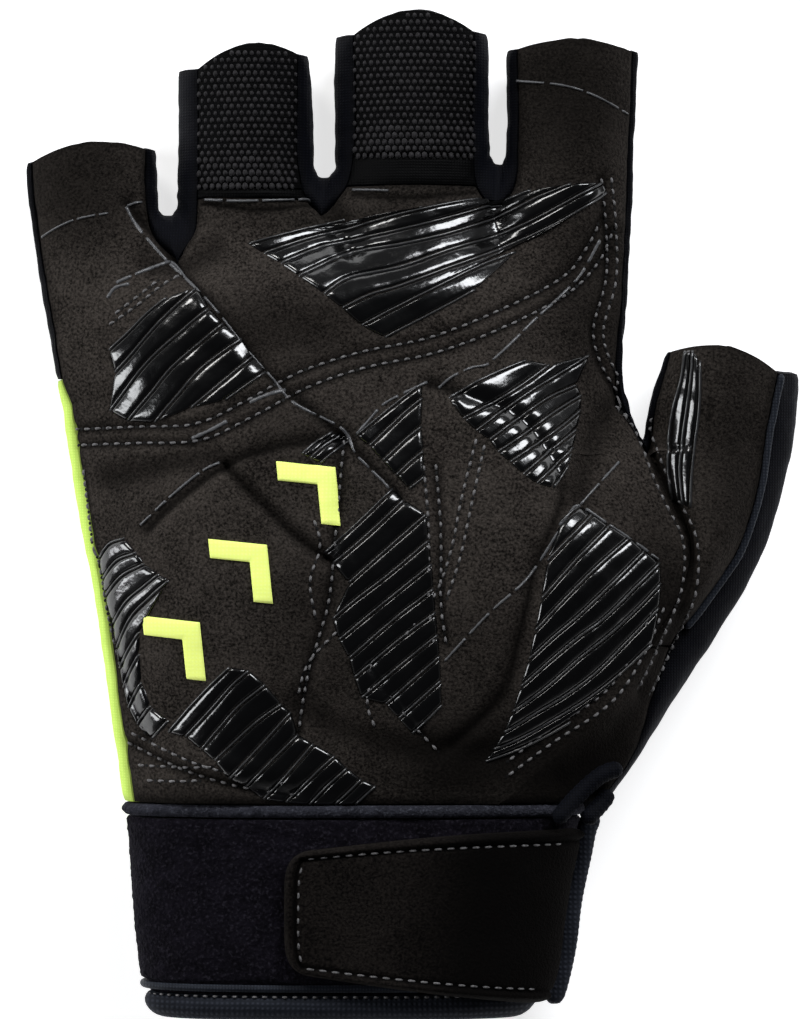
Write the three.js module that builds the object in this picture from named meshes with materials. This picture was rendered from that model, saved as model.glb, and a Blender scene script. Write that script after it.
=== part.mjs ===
// A right-hand half-finger cycling glove that lies on its back, palm up.
// +X points to the thumb, +Y to the fingertips and +Z out of the palm; units are millimetres.
// Shares called across run 0 to 1 from the little-finger side to the thumb tip,
// and shares called along run 0 to 1 from the wrist hem to the middle fingertip.
import * as THREE from "three";

// Overall sizes
const gloveLength = 160.6;
const gloveWidth = 124.0;
const palmDepth = 29.0;

// Cloth thicknesses
const palmCloth = 1.7;
const meshCloth = 1.4;
const stretchCloth = 1.2;
const bandCloth = 1.1;
const backCloth = 1.4;
const cuffCloth = 2.2;
const strapCloth = 2.0;
const strapRim = 0.5;

// Fits between pieces
const seamGap = 0.32;
const sharpestCorner = 0.3;
const layGap = 0.3;
const printGap = 0.45;

const across = (share) => (share - 0.5) * gloveWidth;
const along = (share) => (share - 0.5) * gloveLength;

// Outlines seen from the palm: share along, share across
const LITTLE_SIDE = [
  [0.215, 0.13],
  [0.315, 0.111],
  [0.414, 0.092],
  [0.514, 0.068],
  [0.628, 0.045],
  [0.713, 0.026],
  [0.773, 0.013],
  [0.87, 0.0],
];
const THUMB_SIDE = [
  [0.215, 0.748],
  [0.265, 0.794],
  [0.355, 0.871],
  [0.444, 0.942],
  [0.514, 0.974],
  [0.584, 0.994],
  [0.66, 1.0],
];
const INDEX_SIDE = [
  [0.565, 0.796],
  [0.614, 0.772],
  [0.713, 0.775],
  [0.833, 0.783],
  [0.965, 0.79],
];
const THUMB_INNER_SIDE = [
  [0.565, 0.796],
  [0.614, 0.809],
  [0.663, 0.83],
];

// Lines down the palm between the digits, and on up the palm edge of each digit
const LITTLE_RIGHT = [
  [0.215, 0.271],
  [0.414, 0.245],
  [0.614, 0.213],
  [0.751, 0.197],
  [0.775, 0.169],
  [0.798, 0.161],
  [0.87, 0.159],
];
const RING_LEFT = [
  [0.751, 0.197],
  [0.775, 0.217],
  [0.798, 0.221],
  [0.97, 0.223],
];
const RING_RIGHT = [
  [0.215, 0.413],
  [0.414, 0.4],
  [0.614, 0.387],
  [0.798, 0.383],
  [0.813, 0.366],
  [0.823, 0.36],
  [0.97, 0.354],
];
const MIDDLE_LEFT = [
  [0.798, 0.383],
  [0.826, 0.414],
  [0.855, 0.422],
  [1.0, 0.422],
];
const MIDDLE_RIGHT = [
  [0.215, 0.548],
  [0.414, 0.561],
  [0.614, 0.587],
  [0.798, 0.606],
  [0.826, 0.584],
  [0.855, 0.58],
  [1.0, 0.581],
];
const INDEX_LEFT = [
  [0.798, 0.606],
  [0.83, 0.63],
  [0.865, 0.633],
  [0.98, 0.633],
];
// The seam of the thumb panel, and below it a line that runs on down the palm
const INDEX_RIGHT = [
  [0.215, 0.61],
  [0.275, 0.7],
  [0.325, 0.768],
  [0.375, 0.806],
  [0.424, 0.844],
  [0.474, 0.854],
  [0.524, 0.828],
  [0.565, 0.802],
  [0.614, 0.768],
  [0.713, 0.771],
  [0.833, 0.779],
  [0.98, 0.786],
];
const THUMB_LEFT = [
  [0.565, 0.802],
  [0.614, 0.813],
  [0.68, 0.836],
];
const THUMB_RIGHT = [
  [0.215, 0.742],
  [0.265, 0.786],
  [0.325, 0.812],
  [0.375, 0.836],
  [0.414, 0.875],
  [0.459, 0.914],
  [0.514, 0.941],
  [0.584, 0.957],
  [0.67, 0.978],
];

// Heights as shares of palmDepth: share along, palm crest, side rim, palm edge on the little side,
// height along the thumb seam
const HEIGHTS = [
  [0.215, 0.9, 0.4, 0.62, 0.86],
  [0.3, 0.97, 0.39, 0.62, 0.84],
  [0.42, 1.0, 0.37, 0.6, 0.76],
  [0.5, 0.97, 0.35, 0.57, 0.66],
  [0.565, 0.92, 0.34, 0.55, 0.52],
  [0.7, 0.78, 0.3, 0.47, 0.45],
  [0.8, 0.63, 0.27, 0.41, 0.4],
  [1.0, 0.56, 0.26, 0.38, 0.38],
];

// Each digit: column lines, slit outlines, cell counts, crest and edge heights as shares of palmDepth,
// rows above the last shared one as shares along, and the tip as along, tilt and arch
const DIGITS = [
  {
    left: LITTLE_SIDE,
    leftInset: 0.004,
    right: LITTLE_RIGHT,
    sideLeft: LITTLE_SIDE,
    sideRight: [[0.798, 0.172], [0.87, 0.168]],
    columns: 4,
    crest: 0.55,
    edgeLeft: 0.37,
    edgeRight: 0.42,
    lastShared: 18,
    rows: [0.82, 0.84],
    tip: [0.857, 0.013, 0.012],
  },
  {
    left: RING_LEFT,
    leftInset: 0,
    right: RING_RIGHT,
    sideLeft: [[0.798, 0.196], [0.97, 0.197]],
    sideRight: [[0.836, 0.374], [0.97, 0.365]],
    columns: 5,
    crest: 0.57,
    edgeLeft: 0.46,
    edgeRight: 0.44,
    lastShared: 18,
    rows: [0.813, 0.823, 0.855, 0.887, 0.92],
    tip: [0.95, 0.015, 0.016],
  },
  {
    left: MIDDLE_LEFT,
    leftInset: 0,
    right: MIDDLE_RIGHT,
    sideLeft: [[0.836, 0.4], [1.0, 0.4]],
    sideRight: [[0.848, 0.6], [1.0, 0.597]],
    columns: 5,
    crest: 0.58,
    edgeLeft: 0.45,
    edgeRight: 0.45,
    lastShared: 18,
    rows: [0.826, 0.855, 0.887, 0.918, 0.95],
    tip: [0.978, 0.003, 0.021],
  },
  {
    left: INDEX_LEFT,
    leftInset: 0,
    right: INDEX_RIGHT,
    sideLeft: [[0.848, 0.622], [0.98, 0.622]],
    sideRight: INDEX_SIDE,
    columns: 5,
    crest: 0.57,
    edgeLeft: 0.43,
    edgeRight: 0.37,
    lastShared: 18,
    rows: [0.826, 0.855, 0.89, 0.927],
    tip: [0.962, -0.002, 0.009],
  },
  {
    left: THUMB_LEFT,
    leftInset: 0,
    right: THUMB_RIGHT,
    sideLeft: THUMB_INNER_SIDE,
    sideRight: THUMB_SIDE,
    columns: 4,
    crest: 0.7,
    edgeLeft: 0.47,
    edgeRight: 0.56,
    lastShared: 10,
    rows: [0.59, 0.613, 0.637],
    tip: [0.651, -0.022, 0.015],
  },
];
const THUMB = DIGITS.length - 1;

// Rows that the digits share, from the cuff up
const SHARED_ROWS = [
  0.215, 0.25, 0.285, 0.325, 0.368, 0.404, 0.444, 0.484, 0.52, 0.545, 0.565, 0.604, 0.633, 0.663,
  0.693, 0.723, 0.751, 0.775, 0.798,
];
// Slits between neighbouring digits: first row above the web, web point on the side as along, across
const SLITS = [
  { row: 16, web: [0.798, 0.184] },
  { row: 18, web: [0.836, 0.387] },
  { row: 18, web: [0.848, 0.611] },
  { row: 10, web: [0.574, 0.796] },
];
// Rows where a piece of the skin ends
const cuffEdge = SHARED_ROWS[0];
const thumbPanelStart = 0.365;
const neonEnd = 0.633;
const rowTolerance = 0.01;
const neonInset = 0.012;

// Roots of the digits on the palm, and the rows over which the thumb takes its own shape
const thumbRoot = 0.565;
const fingerRoot = 0.8;
const thumbTipStart = 0.6;
const thumbTipFade = 0.06;

// Roundness of the palm side: shares of palmDepth, and rows or shares across where each begins or fades
const thumbOuterEdge = 0.62;
const thumbEdgeFade = 0.3;
const lowSwell = 0.02;
const highSwell = 0.16;
const swellStart = 0.33;
const swellFade = 0.2;
const littleShoulder = 0.3;
const thumbShoulder = 0.34;
const fingerEdgeShare = 0.5;

// How far the columns of a digit draw together at its edges
const columnCrowding = 0.7;

// Back of the glove
const backInset = 0.024;
const backEdgeRise = 2.4;
const fingerEdgeRise = 1.9;
const backFlatShare = 0.55;
const fingerFlatShare = 0.35;
const tipLift = 0.9;
const webFade = 0.085;
const bandCells = 4;
const webEasing = 1.6;
const webOpening = 5;

function lerp(a, b, t) {
  return a + (b - a) * t;
}

function smoothStep(t) {
  const c = Math.min(1, Math.max(0, t));
  return c * c * (3 - 2 * c);
}

// Smooth value of one column of a table at a key held in column 0
function lookup(table, key, column = 1) {
  const last = table.length - 1;
  if (key <= table[0][0]) return table[0][column];
  if (key >= table[last][0]) return table[last][column];
  let i = 0;
  while (table[i + 1][0] < key) i++;
  const slope = (a, b) => (table[b][column] - table[a][column]) / (table[b][0] - table[a][0]);
  const here = slope(i, i + 1);
  const before = i > 0 ? (slope(i - 1, i) + here) / 2 : here;
  const after = i + 1 < last ? (here + slope(i + 1, i + 2)) / 2 : here;
  const span = table[i + 1][0] - table[i][0];
  const t = (key - table[i][0]) / span;
  const t2 = t * t;
  const t3 = t2 * t;
  return (
    table[i][column] * (2 * t3 - 3 * t2 + 1) +
    table[i + 1][column] * (3 * t2 - 2 * t3) +
    span * (before * (t3 - 2 * t2 + t) + after * (t3 - t2))
  );
}

// How far a point has left the fingers and joined the palm, 0 to 1
function palmBlend(digit, rowAlong) {
  const root = digit === THUMB ? thumbRoot : fingerRoot;
  return smoothStep((root - rowAlong) / webFade);
}

// Shares across of the two palm edges of a digit at a height
function palmEdges(digit, rowAlong) {
  const d = DIGITS[digit];
  const inset = digit === 0 && rowAlong < neonEnd ? neonInset : d.leftInset;
  const leftTable = digit > 0 && rowAlong < d.left[0][0] ? DIGITS[digit - 1].right : d.left;
  return [lookup(leftTable, rowAlong) + inset, lookup(d.right, rowAlong)];
}

// Height of the palm side, from the share along, the digit and the share q across that digit
function palmHeight(rowAlong, digit, q) {
  const d = DIGITS[digit];
  const [left, right] = palmEdges(digit, rowAlong);
  const x = lerp(left, right, q);
  const crest = lookup(HEIGHTS, rowAlong, 1);
  const littleEdge = lookup(HEIGHTS, rowAlong, 3);
  const seamEdge = lookup(HEIGHTS, rowAlong, 4);
  const lobe = 1 - (2 * q - 1) ** 2;
  const digitHeight = lerp(lerp(d.edgeLeft, d.edgeRight, q), d.crest, lobe);
  if (digit === THUMB) {
    const outerEdge = lerp(thumbOuterEdge, d.edgeRight, smoothStep((rowAlong - cuffEdge) / thumbEdgeFade));
    const swell = lerp(lowSwell, highSwell, smoothStep((rowAlong - swellStart) / swellFade));
    const merged = lerp(seamEdge, outerEdge, q) + swell * lobe;
    return palmDepth * lerp(digitHeight, merged, smoothStep((thumbTipStart - rowAlong) / thumbTipFade));
  }
  const bodyLeft = palmEdges(0, rowAlong)[0];
  const bodyRight = lookup(INDEX_RIGHT, rowAlong);
  const t = (x - bodyLeft) / (bodyRight - bodyLeft);
  const rightEdge = rowAlong < thumbRoot ? seamEdge : lerp(seamEdge, d.edgeRight, fingerEdgeShare);
  const shoulder = (s, reach) => 1 - (1 - Math.min(1, s / reach)) ** 2;
  const leftRise = shoulder(t, littleShoulder);
  const rightRise = shoulder(1 - t, thumbShoulder);
  const edge = lerp(littleEdge, rightEdge, t);
  const body = edge + (crest - edge) * leftRise * rightRise;
  return palmDepth * lerp(digitHeight, body, palmBlend(digit, rowAlong));
}

// Height of the back side
function backHeight(rowAlong, digit, q) {
  const overhang = (s, flat) => Math.max(0, (Math.abs(2 * s - 1) - flat) / (1 - flat)) ** 2;
  const lift = tipLift * Math.max(0, (rowAlong - fingerRoot) / (1 - fingerRoot)) ** 2;
  const digitRise = fingerEdgeRise * overhang(q, fingerFlatShare) + lift;
  const [left, right] = palmEdges(digit, rowAlong);
  const bodyLeft = palmEdges(0, rowAlong)[0];
  const bodyRight = lookup(rowAlong < thumbRoot ? THUMB_RIGHT : INDEX_RIGHT, rowAlong);
  const t = (lerp(left, right, q) - bodyLeft) / (bodyRight - bodyLeft);
  const bodyRise = backEdgeRise * overhang(Math.min(1, Math.max(0, t)), backFlatShare);
  return lerp(digitRise, bodyRise, palmBlend(digit, rowAlong));
}

// Share along of row i of a digit at share q across it: shared rows are level, the tip row is arched
function rowAt(digit, i, q) {
  const d = DIGITS[digit];
  if (i <= d.lastShared) return SHARED_ROWS[i];
  const start = SHARED_ROWS[d.lastShared];
  const [tip, tilt, arch] = d.tip;
  const own = i - d.lastShared - 1;
  const level = own < d.rows.length ? d.rows[own] : tip;
  const reach = (level - start) / (tip - start);
  return level + reach ** 3 * (tilt * (q - 0.5) + arch * (1 - (2 * q - 1) ** 2));
}

function rowCount(digit) {
  return DIGITS[digit].lastShared + 1 + DIGITS[digit].rows.length + 1;
}

// Padding under the palm: centre as along, across; half length and half width as shares of gloveLength;
// turn in degrees; rise in millimetres
const PADS = [
  { centre: [0.73, 0.42], half: [0.21, 0.06], turn: 14, rise: 1.1 },
  { centre: [0.45, 0.27], half: [0.17, 0.12], turn: 62, rise: 1.4 },
  { centre: [0.45, 0.66], half: [0.18, 0.11], turn: 78, rise: 1.5 },
];

const padSteepness = 1.4;

function padRise(alongShare, acrossShare) {
  return PADS.reduce((sum, pad) => {
    const dx = (across(acrossShare) - across(pad.centre[1])) / gloveLength;
    const dy = alongShare - pad.centre[0];
    const turn = THREE.MathUtils.degToRad(pad.turn);
    const u = (dx * Math.cos(turn) + dy * Math.sin(turn)) / pad.half[0];
    const v = (dy * Math.cos(turn) - dx * Math.sin(turn)) / pad.half[1];
    return sum + pad.rise * smoothStep(padSteepness * (1 - Math.hypot(u, v)));
  }, 0);
}

// The whole skin as one net of points, from which each piece of cloth takes its own cells
const points = [];
const cells = [];

function addPoint(x, y, z) {
  points.push(new THREE.Vector3(x, y, z));
  return points.length - 1;
}

function columnShare(j, columns) {
  const even = j / columns;
  const crowded = 0.5 - Math.cos(Math.PI * even) / 2;
  return lerp(even, crowded, columnCrowding);
}

function buildSide(isPalm) {
  const grid = [];
  DIGITS.forEach((d, digit) => {
    const rows = [];
    for (let i = 0; i < rowCount(digit); i++) {
      const row = [];
      for (let j = 0; j <= d.columns; j++) {
        const joined = digit > 0 && j === 0 && i <= SLITS[digit - 1].row;
        if (joined) {
          const neighbour = grid[digit - 1][i];
          row.push(neighbour[neighbour.length - 1]);
          continue;
        }
        const q = columnShare(j, d.columns);
        const a = rowAt(digit, i, q);
        let [left, right] = palmEdges(digit, a);
        if (!isPalm) {
          if (digit === 0 || i > SLITS[digit - 1].row) left = lookup(d.sideLeft, a) + backInset;
          if (digit === THUMB || i > SLITS[digit].row) right = lookup(d.sideRight, a) - backInset;
        }
        const share = lerp(left, right, q);
        const z = isPalm ? palmHeight(a, digit, q) + padRise(a, share) : backHeight(a, digit, q);
        row.push(addPoint(across(share), along(a), z));
      }
      rows.push(row);
    }
    grid.push(rows);
  });
  return grid;
}

const palmGrid = buildSide(true);
const backGrid = buildSide(false);

function palmPiece(digit, i) {
  const level = i <= DIGITS[digit].lastShared ? SHARED_ROWS[i] : null;
  const own = i - DIGITS[digit].lastShared;
  if (digit === THUMB) return level !== null && level < thumbPanelStart ? "palm_panel" : "thumb_panel";
  if (digit === 1 && own >= 1) return own === 1 ? "ring_band" : "ring_mesh";
  if (digit === 2 && own >= 1) return own === 1 ? "middle_band" : "middle_mesh";
  return "palm_panel";
}

DIGITS.forEach((d, digit) => {
  for (let i = 0; i + 1 < rowCount(digit); i++) {
    for (let j = 0; j < d.columns; j++) {
      const p = palmGrid[digit];
      const b = backGrid[digit];
      const palmCorners = [p[i][j], p[i][j + 1], p[i + 1][j + 1], p[i + 1][j]];
      const backCorners = [b[i][j], b[i + 1][j], b[i + 1][j + 1], b[i][j + 1]];
      cells.push({ piece: palmPiece(digit, i), corners: palmCorners });
      cells.push({ piece: "back_panel", corners: backCorners });
    }
  }
});

// Points up one side of a digit, from its web row to its tip, with the outline that the side bulges to
function sideRun(digit, isRight, fromRow, web) {
  const d = DIGITS[digit];
  const outline = isRight ? d.sideRight : d.sideLeft;
  const run = [];
  const lastRow = rowCount(digit) - 1;
  const tipAlong = rowAt(digit, lastRow, isRight ? 1 : 0);
  for (let i = fromRow; i <= lastRow; i++) {
    const column = isRight ? d.columns : 0;
    let sideAlong = rowAt(digit, i, isRight ? 1 : 0);
    let sideAcross = lookup(outline, sideAlong);
    if (web) {
      const t = (i - fromRow) / (lastRow - fromRow);
      sideAlong = lerp(web[0], tipAlong, t ** webEasing);
      sideAcross = lerp(web[1], lookup(outline, sideAlong), Math.min(1, Math.sqrt(t * webOpening)));
    }
    run.push({
      top: palmGrid[digit][i][column],
      low: backGrid[digit][i][column],
      side: [across(sideAcross), along(sideAlong), palmDepth * lookup(HEIGHTS, sideAlong, 2)],
      along: sideAlong,
    });
  }
  return run;
}

// A band of cloth between the palm edge and the back edge, rounded out to the side outline
function addBand(path, pieceAt) {
  const columns = path.map((station) => {
    const top = points[station.top];
    const low = points[station.low];
    const side = new THREE.Vector3(...station.side);
    const pull = side.clone().multiplyScalar(2).addScaledVector(top, -0.5).addScaledVector(low, -0.5);
    const column = [station.top];
    for (let s = 1; s < bandCells; s++) {
      const t = s / bandCells;
      const point = new THREE.Vector3()
        .addScaledVector(top, (1 - t) ** 2)
        .addScaledVector(pull, 2 * t * (1 - t))
        .addScaledVector(low, t * t);
      column.push(addPoint(point.x, point.y, point.z));
    }
    column.push(station.low);
    return column;
  });
  for (let k = 0; k + 1 < columns.length; k++) {
    const piece = pieceAt(Math.min(path[k].along, path[k + 1].along));
    for (let s = 0; s < bandCells; s++) {
      const corners = [columns[k][s], columns[k][s + 1], columns[k + 1][s + 1], columns[k + 1][s]];
      cells.push({ piece, corners });
    }
  }
}

const littleSidePiece = (a) => (a < neonEnd - rowTolerance ? "neon_side_panel" : "little_side_strip");
addBand(sideRun(0, false, 0, null).reverse(), littleSidePiece);
addBand(sideRun(THUMB, true, 0, null), () => "thumb_side_panel");
const WEB_NAMES = ["web_little_ring", "web_ring_middle", "web_middle_index", "web_index_thumb"];
SLITS.forEach((slit, digit) => {
  const down = sideRun(digit + 1, false, slit.row, slit.web).reverse();
  const up = sideRun(digit, true, slit.row, slit.web).slice(1);
  addBand([...down, ...up], () => WEB_NAMES[digit]);
});

// Outward direction of the whole skin at each point
const normals = points.map(() => new THREE.Vector3());
cells.forEach(({ corners }) => {
  const [a, b, c, d] = corners.map((k) => points[k]);
  const face = c.clone().sub(a).cross(d.clone().sub(b));
  corners.forEach((k) => normals[k].add(face));
});
normals.forEach((n) => n.normalize());

const glove = new THREE.Group();
glove.name = "cycling_glove";

function addMesh(name, vertices, triangles, look) {
  const geometry = new THREE.BufferGeometry();
  const numbers = vertices.flatMap((v) => [v.x, v.y, v.z]);
  geometry.setAttribute("position", new THREE.Float32BufferAttribute(numbers, 3));
  geometry.setIndex(triangles.flat());
  geometry.computeVertexNormals();
  const material = new THREE.MeshStandardMaterial({ color: look[0], roughness: look[1], metalness: 0 });
  const mesh = new THREE.Mesh(geometry, material);
  mesh.name = name;
  glove.add(mesh);
}

// One cloth piece: its cells drawn back from the seam by half the gap, and given a thickness inward
function addCloth(name, thickness, look) {
  const own = cells.filter((cell) => cell.piece === name).map((cell) => cell.corners);
  const edges = new Map();
  own.forEach((corners) => {
    corners.forEach((a, k) => {
      const b = corners[(k + 1) % 4];
      if (edges.has(b + "_" + a)) edges.delete(b + "_" + a);
      else edges.set(a + "_" + b, [a, b]);
    });
  });
  const inward = new Map();
  for (const [a, b] of edges.values()) {
    const step = points[b].clone().sub(points[a]).normalize();
    for (const k of [a, b]) {
      const pull = normals[k].clone().cross(step).normalize();
      inward.set(k, (inward.get(k) ?? new THREE.Vector3()).add(pull));
    }
  }
  const index = new Map();
  const vertices = [];
  const number = (k) => {
    if (!index.has(k)) {
      const outer = points[k].clone();
      const pull = inward.get(k);
      if (pull) outer.addScaledVector(pull, seamGap / Math.max(sharpestCorner, pull.lengthSq()));
      outer.z = Math.max(0, outer.z);
      index.set(k, vertices.length);
      vertices.push(outer, outer.clone().addScaledVector(normals[k], -thickness));
    }
    return index.get(k);
  };
  const triangles = [];
  own.forEach((corners) => {
    const [a, b, c, d] = corners.map(number);
    triangles.push([a, b, c], [a, c, d], [a + 1, c + 1, b + 1], [a + 1, d + 1, c + 1]);
  });
  for (const [a, b] of edges.values()) {
    const [p, q] = [number(a), number(b)];
    triangles.push([p, p + 1, q + 1], [p, q + 1, q]);
  }
  addMesh(name, vertices, triangles, look);
}

// Looks: colour and roughness
const SUEDE = [0x2e2925, 0.95];
const STRETCH = [0x12131d, 0.7];
const BLACK_BAND = [0x0c0c0e, 0.8];
const KNIT = [0x2a282b, 0.75];
const NEON = [0xcdf53e, 0.8];
const LOOP_BAND = [0x19161f, 0.9];
const SLATE = [0x2a303a, 0.85];
const PIPING = [0x3c4552, 0.6];
const SILICONE = [0x0b0c0e, 0.3];

addCloth("palm_panel", palmCloth, SUEDE);
addCloth("ring_band", bandCloth, BLACK_BAND);
addCloth("ring_mesh", meshCloth, KNIT);
addCloth("middle_band", bandCloth, BLACK_BAND);
addCloth("middle_mesh", meshCloth, KNIT);
addCloth("thumb_panel", palmCloth, SUEDE);
addCloth("thumb_side_panel", stretchCloth, STRETCH);
addCloth("neon_side_panel", stretchCloth, NEON);
addCloth("little_side_strip", stretchCloth, STRETCH);
WEB_NAMES.forEach((name) => addCloth(name, stretchCloth, STRETCH));
addCloth("back_panel", backCloth, STRETCH);

// Cuff section: share along, left and right outline across, top as a share of palmDepth
const CUFF = [
  [0.0, 0.166, 0.646, 0.8],
  [0.012, 0.157, 0.656, 0.84],
  [0.031, 0.152, 0.672, 0.86],
  [0.116, 0.142, 0.692, 0.88],
  [0.203, 0.132, 0.716, 0.9],
];
const cuffRoundness = 2.5;
const cuffSegments = 36;
const cuffFlat = 0.9;

// Point of the cuff outline at an angle, moved out by an offset and never below the surface
function cuffPoint(angle, alongShare, offset) {
  const left = across(lookup(CUFF, alongShare, 1));
  const right = across(lookup(CUFF, alongShare, 2));
  const top = palmDepth * lookup(CUFF, alongShare, 3);
  const half = (right - left) / 2;
  const depth = (top + cuffFlat) / 2;
  const round = (value) => Math.sign(value) * Math.abs(value) ** (2 / cuffRoundness);
  const unitX = round(Math.cos(angle));
  const unitZ = round(Math.sin(angle));
  const normal = new THREE.Vector2(
    (Math.sign(unitX) * Math.abs(unitX) ** (cuffRoundness - 1)) / half,
    (Math.sign(unitZ) * Math.abs(unitZ) ** (cuffRoundness - 1)) / depth,
  ).normalize();
  const x = (left + right) / 2 + unitX * half + normal.x * offset;
  const z = top - depth + unitZ * depth + normal.y * offset;
  return new THREE.Vector3(x, along(alongShare), Math.max(0, -offset, z));
}

// A closed ring round the cuff: its section is a loop of [share along, offset] corners, counterclockwise
// with the offset as the first axis and the length as the second
function addRing(name, section, look) {
  const vertices = [];
  for (let k = 0; k < cuffSegments; k++) {
    const angle = (2 * Math.PI * k) / cuffSegments;
    section.forEach(([a, offset]) => vertices.push(cuffPoint(angle, a, offset)));
  }
  const triangles = [];
  const n = section.length;
  for (let k = 0; k < cuffSegments; k++) {
    const next = (k + 1) % cuffSegments;
    for (let s = 0; s < n; s++) {
      const t = (s + 1) % n;
      triangles.push([k * n + s, next * n + t, next * n + s], [k * n + s, k * n + t, next * n + t]);
    }
  }
  addMesh(name, vertices, triangles, look);
}

// Round section of a ring, flattened to the given half sizes in millimetres
function roundSection(centreAlong, centreOffset, halfAlong, halfOut, corners) {
  return Array.from({ length: corners }, (_, k) => {
    const angle = (2 * Math.PI * (k + 0.5)) / corners;
    return [
      centreAlong + (Math.sin(angle) * halfAlong) / gloveLength,
      centreOffset + Math.cos(angle) * halfOut,
    ];
  });
}

// Rows of the cuff band, and how far it steps in above the hem and swells in the middle
const cuffTopRow = 0.2005;
const cuffStepRow = 0.042;
const cuffStepRun = 0.004;
const cuffLowRow = 0.0285;
const cuffStep = 1.2;
const swellTopRow = 0.148;
const swellLowRow = 0.095;
const cuffSwell = 0.1;
const liningRow = 0.12;
const liningFlare = 0.6;

// Rolled top edge, piping and hem: rows, half sizes of the sections and corners round them
const rollRow = 0.208;
const rollOffset = -0.5;
const rollHalfLength = 0.9;
const rollHalfOut = 1.0;
const rollCorners = 6;
const pipingRow = 0.0345;
const pipingRadius = 0.55;
const pipingCorners = 5;
const hemRow = 0.0145;
const hemSink = 0.1;
const hemHalfLength = 1.95;
const hemHalfOut = 1.5;
const hemCorners = 8;

addRing(
  "cuff_band",
  [
    [cuffLowRow, -cuffStep],
    [cuffStepRow - cuffStepRun, -cuffStep],
    [cuffStepRow, 0],
    [swellLowRow, cuffSwell],
    [swellTopRow, cuffSwell],
    [cuffTopRow, 0],
    [cuffTopRow, -cuffCloth],
    [liningRow, -cuffCloth],
    [cuffLowRow, -cuffStep - cuffCloth + liningFlare],
  ],
  LOOP_BAND,
);
const rollSection = roundSection(rollRow, rollOffset, rollHalfLength, rollHalfOut, rollCorners);
addRing("cuff_top_roll", rollSection, SLATE);
const pipingOffset = -cuffStep + layGap + pipingRadius;
const pipingSection = roundSection(pipingRow, pipingOffset, pipingRadius, pipingRadius, pipingCorners);
addRing("cuff_piping", pipingSection, PIPING);
const hemOffset = -hemHalfOut - hemSink;
addRing("cuff_hem", roundSection(hemRow, hemOffset, hemHalfLength, hemHalfOut, hemCorners), SLATE);

// Point above the palm face of the cuff at a share across
const faceLimit = 0.995;

function cuffTopPoint(acrossShare, alongShare, offset) {
  const left = lookup(CUFF, alongShare, 1);
  const right = lookup(CUFF, alongShare, 2);
  const wanted = (2 * (acrossShare - left)) / (right - left) - 1;
  const unit = Math.min(faceLimit, Math.max(-faceLimit, wanted));
  const angle = Math.acos(Math.sign(unit) * Math.abs(unit) ** (cuffRoundness / 2));
  return cuffPoint(angle, alongShare, offset);
}

// Closure strap: a plate over the palm face of the cuff with a raised rolled edge
const STRAP = {
  left: 0.337,
  cornerReach: 0.05,
  cornerFlatness: 5,
  cornerRoundness: 0.4,
  topLeft: 0.172,
  topRight: 0.19,
  lowLeft: 0.047,
  lowRight: 0.017,
  bow: 0.004,
  turnEnd: 0.965,
};
const strapColumns = [0, 0.02, 0.06, 0.14, 0.26, 0.4, 0.54, 0.68, 0.8, 0.88, 0.94, 0.98, 1];
const strapRows = [0, 0.04, 0.09, 0.28, 0.5, 0.72, 0.91, 0.96, 1];

function strapPoint(q, s, offset) {
  const middle = 1 - Math.abs(2 * s - 1) ** STRAP.cornerFlatness;
  const corner = (1 - middle ** STRAP.cornerRoundness) * STRAP.cornerReach;
  const start = STRAP.left + corner;
  const bow = STRAP.bow * Math.sin(Math.PI * q);
  const low = lerp(STRAP.lowLeft, STRAP.lowRight, q) - bow / 2;
  const top = lerp(STRAP.topLeft, STRAP.topRight, q) + bow;
  const a = lerp(low, top, s);
  const end = lerp(lookup(CUFF, a, 1), lookup(CUFF, a, 2), (1 + STRAP.turnEnd) / 2);
  return cuffTopPoint(lerp(start, end, q), a, offset);
}

function addPlate(name, columnShares, rowShares, pointAt, liftAt, gap, thickness, look) {
  const vertices = [];
  rowShares.forEach((s, i) => {
    columnShares.forEach((q, j) => {
      vertices.push(pointAt(q, s, gap + thickness + liftAt(i, j)), pointAt(q, s, gap));
    });
  });
  const nx = columnShares.length;
  const ny = rowShares.length;
  const id = (i, j) => 2 * (i * nx + j);
  const triangles = [];
  for (let i = 0; i + 1 < ny; i++) {
    for (let j = 0; j + 1 < nx; j++) {
      const [a, b, c, d] = [id(i, j), id(i, j + 1), id(i + 1, j + 1), id(i + 1, j)];
      triangles.push([a, b, c], [a, c, d], [a + 1, c + 1, b + 1], [a + 1, d + 1, c + 1]);
    }
  }
  const border = [];
  for (let j = 0; j + 1 < nx; j++) border.push([id(0, j), id(0, j + 1)]);
  for (let i = 0; i + 1 < ny; i++) border.push([id(i, nx - 1), id(i + 1, nx - 1)]);
  for (let j = nx - 1; j > 0; j--) border.push([id(ny - 1, j), id(ny - 1, j - 1)]);
  for (let i = ny - 1; i > 0; i--) border.push([id(i, 0), id(i - 1, 0)]);
  border.forEach(([p, q]) => triangles.push([p, p + 1, q + 1], [p, q + 1, q]));
  addMesh(name, vertices, triangles, look);
}

const lastStrapRow = strapRows.length - 1;
const strapLift = (i, j) => {
  const onLongRim = i === 1 || i === lastStrapRow - 1;
  const onEndRim = j === 1 && i > 0 && i < lastStrapRow;
  return onLongRim || onEndRim ? strapRim : 0;
};
addPlate(
  "closure_strap",
  strapColumns,
  strapRows,
  strapPoint,
  strapLift,
  layGap,
  strapCloth,
  SUEDE,
);

// A round cord or bound edge along a short run of centre points, with closed ends
const endTaper = 0.55;

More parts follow.
